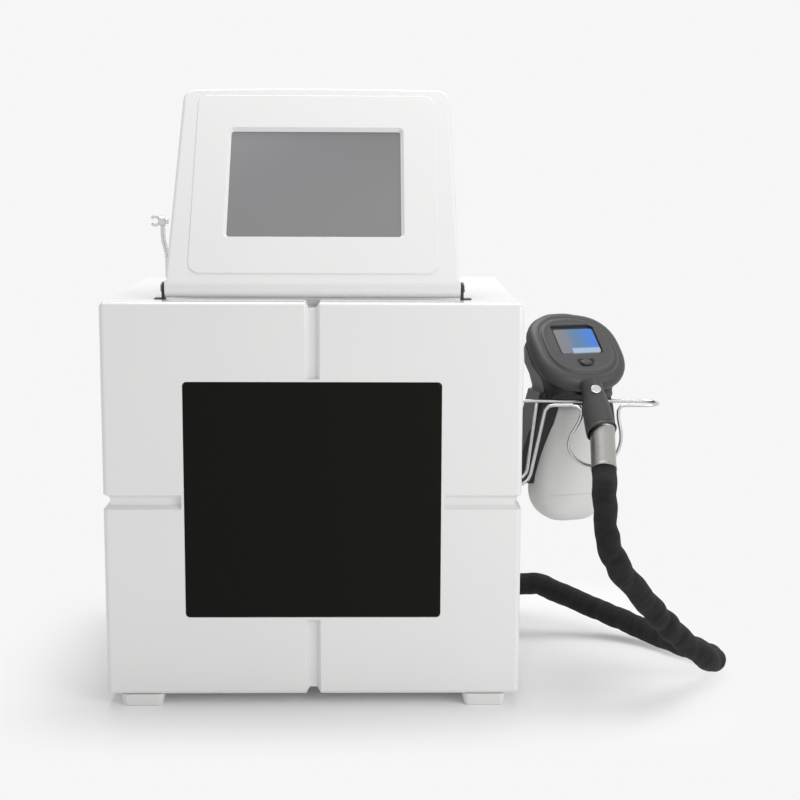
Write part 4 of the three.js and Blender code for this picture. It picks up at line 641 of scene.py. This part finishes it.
FINISHES = {
    "gloss_white_abs": gloss_white, "white_painted_steel": painted_white, "white_abs": matt_white,
    "black_acrylic": black_acrylic, "screen_glass": screen_glass, "display_glass": small_display,
    "galvanised_steel": galvanised, "aluminium": aluminium, "circuit_board": circuit_board,
    "black_plastic": black_plastic, "natural_plastic": natural_plastic,
    "soft_grey_plastic": soft_grey, "frosted_plastic": frosted, "brushed_steel": turned_steel,
    "chrome": polished_wire, "black_fabric": woven_sleeve,
}
print("finishes:", len(FINISHES))

# %% [markdown]
# ## Working tools
# Every edit is done to one selected piece. A copy of a ready-made solid is joined up, its flat
# triangles are melted into whole faces, and its shallow corners are shaded as curves. The copy then
# stands in the solid's place, so its edges can be rounded as on a moulded or drawn piece.

# %% Selecting
import bmesh

TINY = 0.01 * MM
HOME = {node: body for body, nodes in frame["record"]["behaviour"]["bodies"].items() for node in nodes}
SLOT = {row["node"]: row["material_slot"] for row in frame["record"]["subparts"]}


def only(piece):
    """Selects one piece and nothing else."""
    if bpy.context.object and bpy.context.object.mode != "OBJECT":
        bpy.ops.object.mode_set(mode="OBJECT")
    bpy.ops.object.select_all(action="DESELECT")
    piece.select_set(True)
    bpy.context.view_layer.objects.active = piece


def pick(kind, test):
    """In edit mode, selects the corners, edges or faces that pass a test, and counts them."""
    bpy.ops.mesh.select_mode(type={"verts": "VERT", "edges": "EDGE", "faces": "FACE"}[kind])
    bpy.ops.mesh.select_all(action="DESELECT")
    shape = bmesh.from_edit_mesh(bpy.context.edit_object.data)
    chosen = [part for part in getattr(shape, kind) if test(part)]
    for part in chosen:
        part.select_set(True)
    shape.select_flush_mode()
    bmesh.update_edit_mesh(bpy.context.edit_object.data)
    return len(chosen)


def span(edge, axis):
    """How far an edge runs along one axis, 0 for X, 1 for Y and 2 for Z."""
    return abs(edge.verts[0].co[axis] - edge.verts[1].co[axis])


print("bodies:", sorted(set(HOME.values())))


# %% Starting and ending a piece
def fresh(kind, name, location=(0, 0, 0), scale=(1, 1, 1), **settings):
    """A new basic shape, sized and opened in edit mode."""
    bpy.ops.object.select_all(action="DESELECT")
    getattr(bpy.ops.mesh, "primitive_" + kind + "_add")(location=location, **settings)
    piece = bpy.context.object
    piece.name, piece.scale = name, scale
    bpy.ops.object.transform_apply(location=True, rotation=True, scale=True)
    bpy.ops.object.mode_set(mode="EDIT")
    return piece


def use(piece, kind, **settings):
    """Adds a modifier, sets it and applies it."""
    only(piece)
    made = piece.modifiers.new(kind.lower(), kind)
    for key, value in settings.items():
        setattr(made, key, value)
    bpy.ops.object.modifier_apply(modifier=made.name)


def soften(piece, angle, level=True):
    """Smooth shading that keeps edges sharper than an angle, and large flat faces flat."""
    only(piece)
    bpy.ops.object.shade_smooth_by_angle(angle=math.radians(angle))
    if level:
        use(piece, "WEIGHTED_NORMAL", keep_sharp=True)


def round_edges(piece, width, segments, angle):
    """Rounds every edge that is sharper than an angle."""
    use(piece, "BEVEL", width=width * MM, segments=segments, limit_method="ANGLE",
        angle_limit=math.radians(angle))


def settled(piece, place):
    """Moves a piece that was modelled at the origin to its place, for good."""
    only(piece)
    piece.matrix_world = place
    bpy.ops.object.transform_apply(location=True, rotation=True, scale=True)


def stand_in(piece, *nodes, paint=None):
    """Puts a finished piece in the place of ready-made ones, with their finish and body."""
    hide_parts(*nodes)
    piece.data.materials.clear()
    piece.data.materials.append(paint or FINISHES[SLOT[nodes[0]]])
    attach(piece, HOME[nodes[0]])
    print(piece.name, "has", len(piece.data.polygons), "faces")


# %% Shaping
def sliced(places, normal):
    """Cuts the whole mesh with flat cuts across one direction."""
    for place in places:
        bpy.ops.mesh.select_all(action="SELECT")
        bpy.ops.mesh.bisect(plane_co=Vector(normal) * place, plane_no=normal)


def flattened(test, axis, place):
    """Presses chosen corners flat on a plane across one axis."""
    pick("verts", test)
    scale = [0 if i == axis else 1 for i in range(3)]
    centre = [place if i == axis else 0 for i in range(3)]
    bpy.ops.transform.resize(value=scale, center_override=centre)


def pushed(test, move, reach=0.0):
    """Moves the corners that pass a test, and softly those within reach of them."""
    pick("verts", test)
    bpy.ops.transform.translate(value=[c * MM for c in move], use_proportional_edit=reach > 0,
                                proportional_edit_falloff="SMOOTH", proportional_size=max(reach, 1) * MM)


def widened(height, across, deep=1.0):
    """Widens the corners at one height."""
    pick("verts", lambda v: abs(v.co.z - height * MM) < TINY)
    bpy.ops.transform.resize(value=(across, deep, 1), center_override=(0, 0, height * MM))


def stepped(rings):
    """Insets the chosen face ring by ring; each has its width and how far it rises."""
    for thickness, depth in rings:
        bpy.ops.mesh.inset(thickness=thickness * MM, depth=depth * MM)


# %% [markdown]
# ## Front cover
# The cover is one deep tray of gloss plastic, moulded with a cross-shaped groove that makes it look
# like four soft tiles. It could be carved with cutters, but a box that is sliced where the groove
# runs and then pressed in keeps clean faces, which a gloss finish needs.

# %% Sizes of the cover
HALF = 250 * MM
MID = (TOP + BOTTOM) / 2
COVER_DEPTH = 42 * MM
CORNER = 6.5 * MM
GROOVE = 7.5 * MM
GROOVE_FLOOR, GROOVE_EDGE = 4.5 * MM, 9 * MM
HALF_WINDOW = 153.5 * MM
WINDOW_LOW, WINDOW_HIGH = 112 * MM, 399 * MM
WINDOW_DEPTH = 8 * MM
WINDOW_CORNER = 5 * MM
COLLAR = 3 * MM
COLLAR_SLOPE = 1.2 * MM
print("window", round(2 * HALF_WINDOW, 3), "by", round(WINDOW_HIGH - WINDOW_LOW, 3), "m")

# %% Slicing the cover
cover = fresh("cube", "front_cover_tiles", (MIDDLE, FRONT + COVER_DEPTH / 2, MID),
              (2 * HALF, COVER_DEPTH, TOP - BOTTOM), size=1)
pick("edges", lambda e: all(abs(v.co.y - FRONT) < TINY for v in e.verts) or span(e, 1) > COVER_DEPTH / 2)
bpy.ops.mesh.bevel(offset=CORNER, segments=6, affect="EDGES")
collar = [0, COLLAR, COLLAR + COLLAR_SLOPE]
sliced([MIDDLE + side * away for side in (-1, 1)
        for away in [GROOVE_FLOOR, GROOVE_EDGE] + [HALF_WINDOW + c for c in collar]], (1, 0, 0))
sliced([MID + side * away for side in (-1, 1) for away in (GROOVE_FLOOR, GROOVE_EDGE)]
       + [WINDOW_LOW - c for c in collar] + [WINDOW_HIGH + c for c in collar], (0, 0, 1))
print("corners after slicing:", len(bmesh.from_edit_mesh(cover.data).verts))


# %% Pressing the groove
def in_groove(v, axis, centre):
    """Whether a corner lies in the floor of the groove and outside the window's collar."""
    edge = COLLAR + 0.5 * MM
    framed = (abs(v.co.x - MIDDLE) < HALF_WINDOW + edge
              and WINDOW_LOW - edge < v.co.z < WINDOW_HIGH + edge)
    return (abs(v.co[axis] - centre) < GROOVE_FLOOR + 0.1 * MM
            and not (framed and v.co.y < FRONT + 10 * MM))


for axis, centre in ((0, MIDDLE), (2, MID)):
    flattened(lambda v: in_groove(v, axis, centre) and v.co.y < FRONT + GROOVE, 1, FRONT + GROOVE)
flattened(lambda v: in_groove(v, 0, MIDDLE) and v.co.z > TOP - GROOVE, 2, TOP - GROOVE)
flattened(lambda v: in_groove(v, 0, MIDDLE) and v.co.z < BOTTOM + GROOVE, 2, BOTTOM + GROOVE)
for side in (-1, 1):
    flattened(lambda v: in_groove(v, 2, MID) and side * (v.co.x - MIDDLE) > HALF - GROOVE, 0,
              MIDDLE + side * (HALF - GROOVE))

# %% [markdown]
# ## Window opening and wall
# The opening is the middle of the front pressed back to a level pocket, with its upright corners
# rounded. The open back and one even wall make the cover the thin moulding that it is.

# %% Window opening and wall
pick("faces", lambda f: abs(f.normal.y) > 0.9 and f.calc_center_median().y < FRONT + 1 * MM
     and abs(f.calc_center_median().x - MIDDLE) < HALF_WINDOW
     and WINDOW_LOW < f.calc_center_median().z < WINDOW_HIGH)
bpy.ops.mesh.dissolve_faces()
bpy.ops.mesh.extrude_region_move(TRANSFORM_OT_translate={"value": (0, WINDOW_DEPTH, 0)})
pick("edges", lambda e: span(e, 1) > WINDOW_DEPTH - 1 * MM
     and all(abs(abs(v.co.x - MIDDLE) - HALF_WINDOW) < TINY
             and min(abs(v.co.z - WINDOW_LOW), abs(v.co.z - WINDOW_HIGH)) < TINY for v in e.verts))
bpy.ops.mesh.bevel(offset=WINDOW_CORNER, segments=5, affect="EDGES")
pick("faces", lambda f: f.calc_center_median().y > FRONT + COVER_DEPTH - 0.1 * MM)
bpy.ops.mesh.delete(type="FACE")
bpy.ops.mesh.select_all(action="SELECT")
bpy.ops.mesh.remove_doubles(threshold=TINY)
bpy.ops.mesh.normals_make_consistent(inside=False)
bpy.ops.object.mode_set(mode="OBJECT")
round_edges(cover, 1.1, 3, 28)
use(cover, "SOLIDIFY", thickness=2.6 * MM, offset=-1)
soften(cover, 32)
stand_in(cover, "front_cover")

# %% [markdown]
# ## Window
# A plate of black acrylic with polished, slanted edges is let into the cover. A slab with its four
# corners rounded and its front edge bevelled flat gives the pale line round it.

# %% Window
WINDOW_GAP = 0.3 * MM
window = fresh("cube", "window_plate", (MIDDLE, FRONT + 4 * MM, (WINDOW_LOW + WINDOW_HIGH) / 2),
               (2 * (HALF_WINDOW - WINDOW_GAP), 6 * MM, WINDOW_HIGH - WINDOW_LOW - 2 * WINDOW_GAP), size=1)
pick("edges", lambda e: span(e, 1) > 5 * MM)
bpy.ops.mesh.bevel(offset=WINDOW_CORNER - WINDOW_GAP, segments=6, affect="EDGES")
pick("faces", lambda f: f.normal.y < -0.9)
bpy.ops.mesh.inset(thickness=3.2 * MM)
bpy.ops.transform.translate(value=(0, -0.9 * MM, 0))
bpy.ops.object.mode_set(mode="OBJECT")
round_edges(window, 0.35, 2, 12)
soften(window, 20)
stand_in(window, "window_panel")

# %% [markdown]
# ## Outline of the handpiece's head
# The head is a thick pebble of soft grey plastic. Its front has a broad rounded rim, a soft ridge
# that catches the light, and a level plate. A sphere could be flattened, but its rings wouldn't
# follow the squarish outline. A slab whose upright edges are rounded almost to its middle gives
# that outline, and rings grown from its two faces, each at its own height, give rim and ridge.

# %% Rings
POD_HALF = 61
POD_MIDDLE = -8.5
POD_RIM = 10.5
POD_LOW, POD_HIGH = -14, -11
PLATE = 1.4
RIDGE = [(12, -0.75), (13, -0.95), (13.8, -0.7), (14.5, 0), (15.2, 0.9), (16, 1.5), (17, 1.75),
         (18.5, 1.7), (20, 1.5), (21.5, PLATE)]


def rounded(middle, way, steps=7):
    """The rings of the head's quarter-round rim, from its outline inwards."""
    turns = [math.radians(90 * (i + 1) / steps) for i in range(steps)]
    return [(POD_RIM * (1 - math.cos(a)), middle + way * POD_RIM * math.sin(a)) for a in turns]


def ringed(rings, start):
    """Grows the chosen face by rings; each has its distance in from the outline and its height."""
    inset, height = 0, start
    for next_inset, next_height in rings:
        bpy.ops.mesh.extrude_region_move(
            TRANSFORM_OT_translate={"value": (0, 0, (next_height - height) * MM)})
        share = (POD_HALF - next_inset) / (POD_HALF - inset)
        bpy.ops.transform.resize(value=(share, share, 1), center_override=(0, POD_MIDDLE * MM, 0))
        inset, height = next_inset, next_height


pod = fresh("cube", "handpiece_head", (0, POD_MIDDLE * MM, (POD_LOW + POD_HIGH) / 2 * MM),
            (2 * POD_HALF * MM, 124 * MM, (POD_HIGH - POD_LOW) * MM), size=1)
pick("edges", lambda e: span(e, 2) > 2 * MM)
bpy.ops.mesh.bevel(offset=60.9 * MM, segments=14, profile=0.574, affect="EDGES")
bpy.ops.mesh.select_all(action="SELECT")
bpy.ops.mesh.remove_doubles(threshold=0.9 * MM)
print("back faces:", pick("faces", lambda f: f.normal.z < -0.99))
ringed(rounded(POD_LOW, -1), POD_LOW)
print("front faces:", pick("faces", lambda f: f.normal.z > 0.99))
ringed(rounded(POD_HIGH, 1) + RIDGE, POD_HIGH)
pushed(lambda v: v.co.x < -36 * MM and v.co.y > 24 * MM, (-1.6, 2.6, 0), 34)
pushed(lambda v: abs(v.co.x + 8 * MM) < 14 * MM and v.co.y > 44 * MM, (0, 2.6, 0), 16)

# %% [markdown]
# ## Frame and dish in the head
# The display sits in a sunk frame and the push button in an oval dish. Both are cut as straight
# slices of the level plate, pressed in, and given round upright corners. The floor is a little
# smaller than the opening, so that the walls slant as they do on a moulding.


# %% Frame and dish
def at_level(face, level):
    return face.normal.z > 0.99 and abs(face.calc_center_median().z - level) < TINY


def pocket(left, right, low, high, corner, depth, slant):
    """Sinks a rounded pocket into the level plate."""
    level = PLATE * MM
    left, right, low, high, depth = (v * MM for v in (left, right, low, high, depth))

    def inside(face):
        middle = face.calc_center_median()
        return left < middle.x < right and low < middle.y < high

    for normal, places in (((1, 0, 0), (left, right)), ((0, 1, 0), (low, high))):
        for place in places:
            pick("faces", lambda f: at_level(f, level))
            bpy.ops.mesh.bisect(plane_co=Vector(normal) * place, plane_no=normal)
    pick("faces", lambda f: at_level(f, level) and inside(f))
    bpy.ops.mesh.dissolve_faces()
    bpy.ops.mesh.extrude_region_move(TRANSFORM_OT_translate={"value": (0, 0, -depth)})
    pick("edges", lambda e: abs(span(e, 2) - depth) < TINY / 10
         and all(min(abs(v.co.x - left), abs(v.co.x - right)) < TINY / 10
                 and min(abs(v.co.y - low), abs(v.co.y - high)) < TINY / 10 for v in e.verts))
    bpy.ops.mesh.bevel(offset=corner * MM, segments=6, affect="EDGES")
    pick("faces", lambda f: at_level(f, level - depth) and inside(f))
    bpy.ops.transform.resize(value=[1 - slant * MM / (right - left), 1 - slant * MM / (high - low), 1],
                             center_override=[(left + right) / 2, (low + high) / 2, level])


pocket(-29.6, 29.6, -22.6, 27.5, corner=3.5, depth=2.7, slant=1.2)
pocket(-12.5, 12.5, -45, -29.5, corner=7.2, depth=1.9, slant=4)
bpy.ops.object.mode_set(mode="OBJECT")
round_edges(pod, 0.4, 2, 45)
settled(pod, FACE)
soften(pod, 40)
stand_in(pod, "handpiece_face", paint=head_grey)

# %% [markdown]
# ## Push button
# The button is a low oval cap with a rounded rim that sits in its dish. A stretched cylinder whose
# top is inset in three steps gives that rim with few faces.

# %% Push button
knob = fresh("cylinder", "handpiece_knob", (0, -37.2 * MM, -0.7 * MM), (7.4 * MM, 4.6 * MM, 1 * MM),
             vertices=40, radius=1, depth=4)
pick("faces", lambda f: f.normal.z > 0.9)
stepped(((0.5, 0.45), (0.9, 0.4), (1.2, 0.15)))
bpy.ops.object.mode_set(mode="OBJECT")
settled(knob, FACE)
soften(knob, 50)
stand_in(knob, "handpiece_button")

# %% [markdown]
# ## Neck
# The neck is a short rubber boot that widens towards the hose, and its slanting mouth hides the
# end of the steel ferrule. A tube that is sliced into rings, each ring widened on its own, gives
# the flare. The mouth is then turned a little about its middle.

# %% Neck
NECK = (HAND @ Matrix.Translation(Vector((-2.4, -70, -25)) * MM)
        @ Matrix.Rotation(math.radians(-29.9), 4, "X"))
NECK_RADIUS = 18
NECK_RINGS = ((-6, 19.6), (-2, 19.3), (4, 18.8), (10, 18.5), (18, 18), (26, 17.3), (34, 16),
              (42, 14.6), (50, 13.8), (60, 14.5))
neck = fresh("cylinder", "neck_sleeve", (0, 0, 27 * MM), vertices=56, radius=NECK_RADIUS * MM,
             depth=66 * MM, end_fill_type="NGON")
sliced([height * MM for height, _ in NECK_RINGS[1:-1]], (0, 0, 1))
for height, radius in NECK_RINGS:
    widened(height, radius / NECK_RADIUS, radius / NECK_RADIUS)
pick("faces", lambda f: f.normal.z < -0.9)
stepped(((0.8, 0.5), (1.0, -0.6), (0.6, -5)))
pick("verts", lambda v: v.co.z < -1 * MM)
bpy.ops.transform.rotate(value=math.radians(20), orient_axis="X", center_override=(0, 0, -2 * MM))
bpy.ops.object.mode_set(mode="OBJECT")
settled(neck, NECK)
soften(neck, 50)
stand_in(neck, "neck_boot")

# %% [markdown]
# ## Badge
# A small oval of polished metal without any marking is set into the neck's front. It is made lying
# flat, like the button, and then stood up to face forwards.

# %% Badge
BADGE_PLACE = (-2.6 * MM, -14.4 * MM, 45.5 * MM)
badge = fresh("cylinder", "silver_badge", BADGE_PLACE, (6.9 * MM, 5.4 * MM, 1 * MM),
              vertices=40, radius=1, depth=2.4)
pick("faces", lambda f: f.normal.z > 0.9)
stepped(((0.35, 0.3), (0.5, 0.12), (1.1, -0.15)))
bpy.ops.mesh.select_all(action="SELECT")
bpy.ops.transform.rotate(value=math.radians(-90), orient_axis="X", center_override=BADGE_PLACE)
bpy.ops.object.mode_set(mode="OBJECT")
settled(badge, NECK)
soften(badge, 50)
stand_in(badge, "handpiece_badge")

# %% [markdown]
# ## Cup
# The cup is a thick-walled bell of frosted plastic, narrow at the top and wide at its open mouth,
# with large round corners that skin can slide over. A block sliced into levels is widened level by
# level, rounded, opened at the bottom, and then given its wall thickness.

# %% Cup
CUP_DEPTH = 52 * MM
CUP_TOP, CUP_FOOT = -3, -162
LEVELS = ((CUP_TOP, 30), (-22, 34.5), (-42, 39), (-62, 43.5), (-82, 48), (-96, 50.5), (-108, 51.5),
          (CUP_FOOT, 51.5))
cup = fresh("cube", "frosted_cup", (0, CUP_DEPTH / 2, (CUP_TOP + CUP_FOOT) / 2 * MM),
            (2 * MM, CUP_DEPTH, (CUP_TOP - CUP_FOOT) * MM), size=1)
sliced([height * MM for height, _ in LEVELS[1:-1]], (0, 0, 1))
for height, half in LEVELS:
    widened(height, half)
pick("edges", lambda e: all(v.co.z < (CUP_FOOT + 1) * MM for v in e.verts) and span(e, 1) > 40 * MM)
bpy.ops.mesh.bevel(offset=41 * MM, segments=12, affect="EDGES")
pick("edges", lambda e: (all(v.co.y < TINY / 10 for v in e.verts)
                         or all(v.co.y > CUP_DEPTH - TINY for v in e.verts))
     and not all(abs(f.normal.y) > 0.9 for f in e.link_faces))
bpy.ops.mesh.bevel(offset=19 * MM, segments=7, affect="EDGES")
pick("faces", lambda f: f.normal.z < -0.9 and f.calc_center_median().z < (CUP_FOOT + 12) * MM)
bpy.ops.mesh.delete(type="FACE")
bpy.ops.object.mode_set(mode="OBJECT")
use(cup, "SOLIDIFY", thickness=3.4 * MM, offset=-1)
round_edges(cup, 1.0, 2, 60)
settled(cup, HAND)
soften(cup, 50, level=False)
stand_in(cup, "cup")

# %% [markdown]
# ## Curved and moulded pieces
# The other curved pieces have the right shape as solids: the leaning head and its ears, the feet,
# the bent wire, the caps, the fan. They could be modelled again, but a joined-up copy with rounded
# edges and smooth shading looks as good. The number beside each name is how far its edges are
# rounded, in millimetres. Bent wire has no edges to round.

# %% Curved and moulded pieces
SAME_PLACE = 0.002 * MM
LEVEL_ANGLE = math.radians(0.08)
ROUNDING = (
    ("console_front_bezel", 0.5), ("console_rear_shell", 0.6), ("touch_screen", 0.2),
    ("hinge_cheek_left", 0.5), ("hinge_cheek_right", 0.5), ("hinge_pin_left", 0.2),
    ("hinge_pin_right", 0.2), ("top_cover", 0.4), ("foot_front_left", 0.8), ("foot_front_right", 0.8),
    ("foot_rear_left", 0.8), ("foot_rear_right", 0.8), ("handpiece_body", 0.4),
    ("handpiece_display", 0.2), ("ferrule", 0.2), ("holder_plate", 0.3), ("holder_rear_bar", 0),
    ("holder_end_bend", 0), ("holder_throat", 0), ("holder_front_arm", 0), ("holder_rear_strut", 0),
    ("hanger_socket", 0.4), ("hanger_arm", 0), ("hanger_clip", 0.2), ("hose_gland", 0.3),
    ("fan_frame", 0.4), ("fan_rotor", 0.2), ("fan_guard", 0.2), ("fill_cap", 0.4), ("drain_cap", 0.4),
    ("fill_port", 0), ("drain_port", 0), ("power_inlet", 0.3), ("switch_frame", 0.3),
    ("power_rocker", 0.3), ("water_tank", 0.6), ("water_pump", 0.4), ("vacuum_pump", 0.4))


def smoothed(node, edge, angle):
    """A joined-up copy of a solid, with rounded edges and smooth shading."""
    piece = bpy.data.objects.new(node + "_skin", frame["nodes"][node].data.copy())
    bpy.context.scene.collection.objects.link(piece)
    only(piece)
    bpy.ops.mesh.customdata_custom_splitnormals_clear()
    bpy.ops.object.mode_set(mode="EDIT")
    bpy.ops.mesh.select_all(action="SELECT")
    bpy.ops.mesh.remove_doubles(threshold=SAME_PLACE)
    bpy.ops.mesh.dissolve_limited(angle_limit=LEVEL_ANGLE)
    bpy.ops.object.mode_set(mode="OBJECT")
    if edge:
        round_edges(piece, edge, 2, angle)
    soften(piece, angle, level=edge > 0)
    stand_in(piece, node)


for node, edge in ROUNDING:
    smoothed(node, edge, angle=36 if edge else 50)

# %% [markdown]
# ## Grip of the handpiece
# Two cheeks of the grip hold the cup from both sides. In the solid their front edges run nearly
# straight down. On the real one they fall back towards the foot, so that more of the cup shows.
# The copy's front corners are pushed back level by level, in the handpiece's own directions.

# %% Grip of the handpiece
CHEEKS = ((-110, 17), (-104, 16), (-95, 14.5), (-42, 5))
grip = bpy.data.objects["handpiece_body_skin"]
settled(grip, HAND.inverted())
bpy.ops.object.mode_set(mode="EDIT")
for height, back in CHEEKS:
    pushed(lambda v: v.co.y < 12 * MM and abs(v.co.z - height * MM) < 2.5 * MM, (0, back, 0))
bpy.ops.object.mode_set(mode="OBJECT")
settled(grip, HAND)
grip.data.materials[0] = dark_grip
print("cheeks pushed back by up to", max(back for _, back in CHEEKS), "mm")

# %% [markdown]
# ## Finishes for the rest
# Flat sheet-metal pieces, and those that are hidden inside, keep their solids and only take a
# finish: they have no curve or edge that a new piece would show better.

# %% Plain pieces
for node, solid in frame["nodes"].items():
    for slot in solid.material_slots:
        slot.material = FINISHES[SLOT[node]]
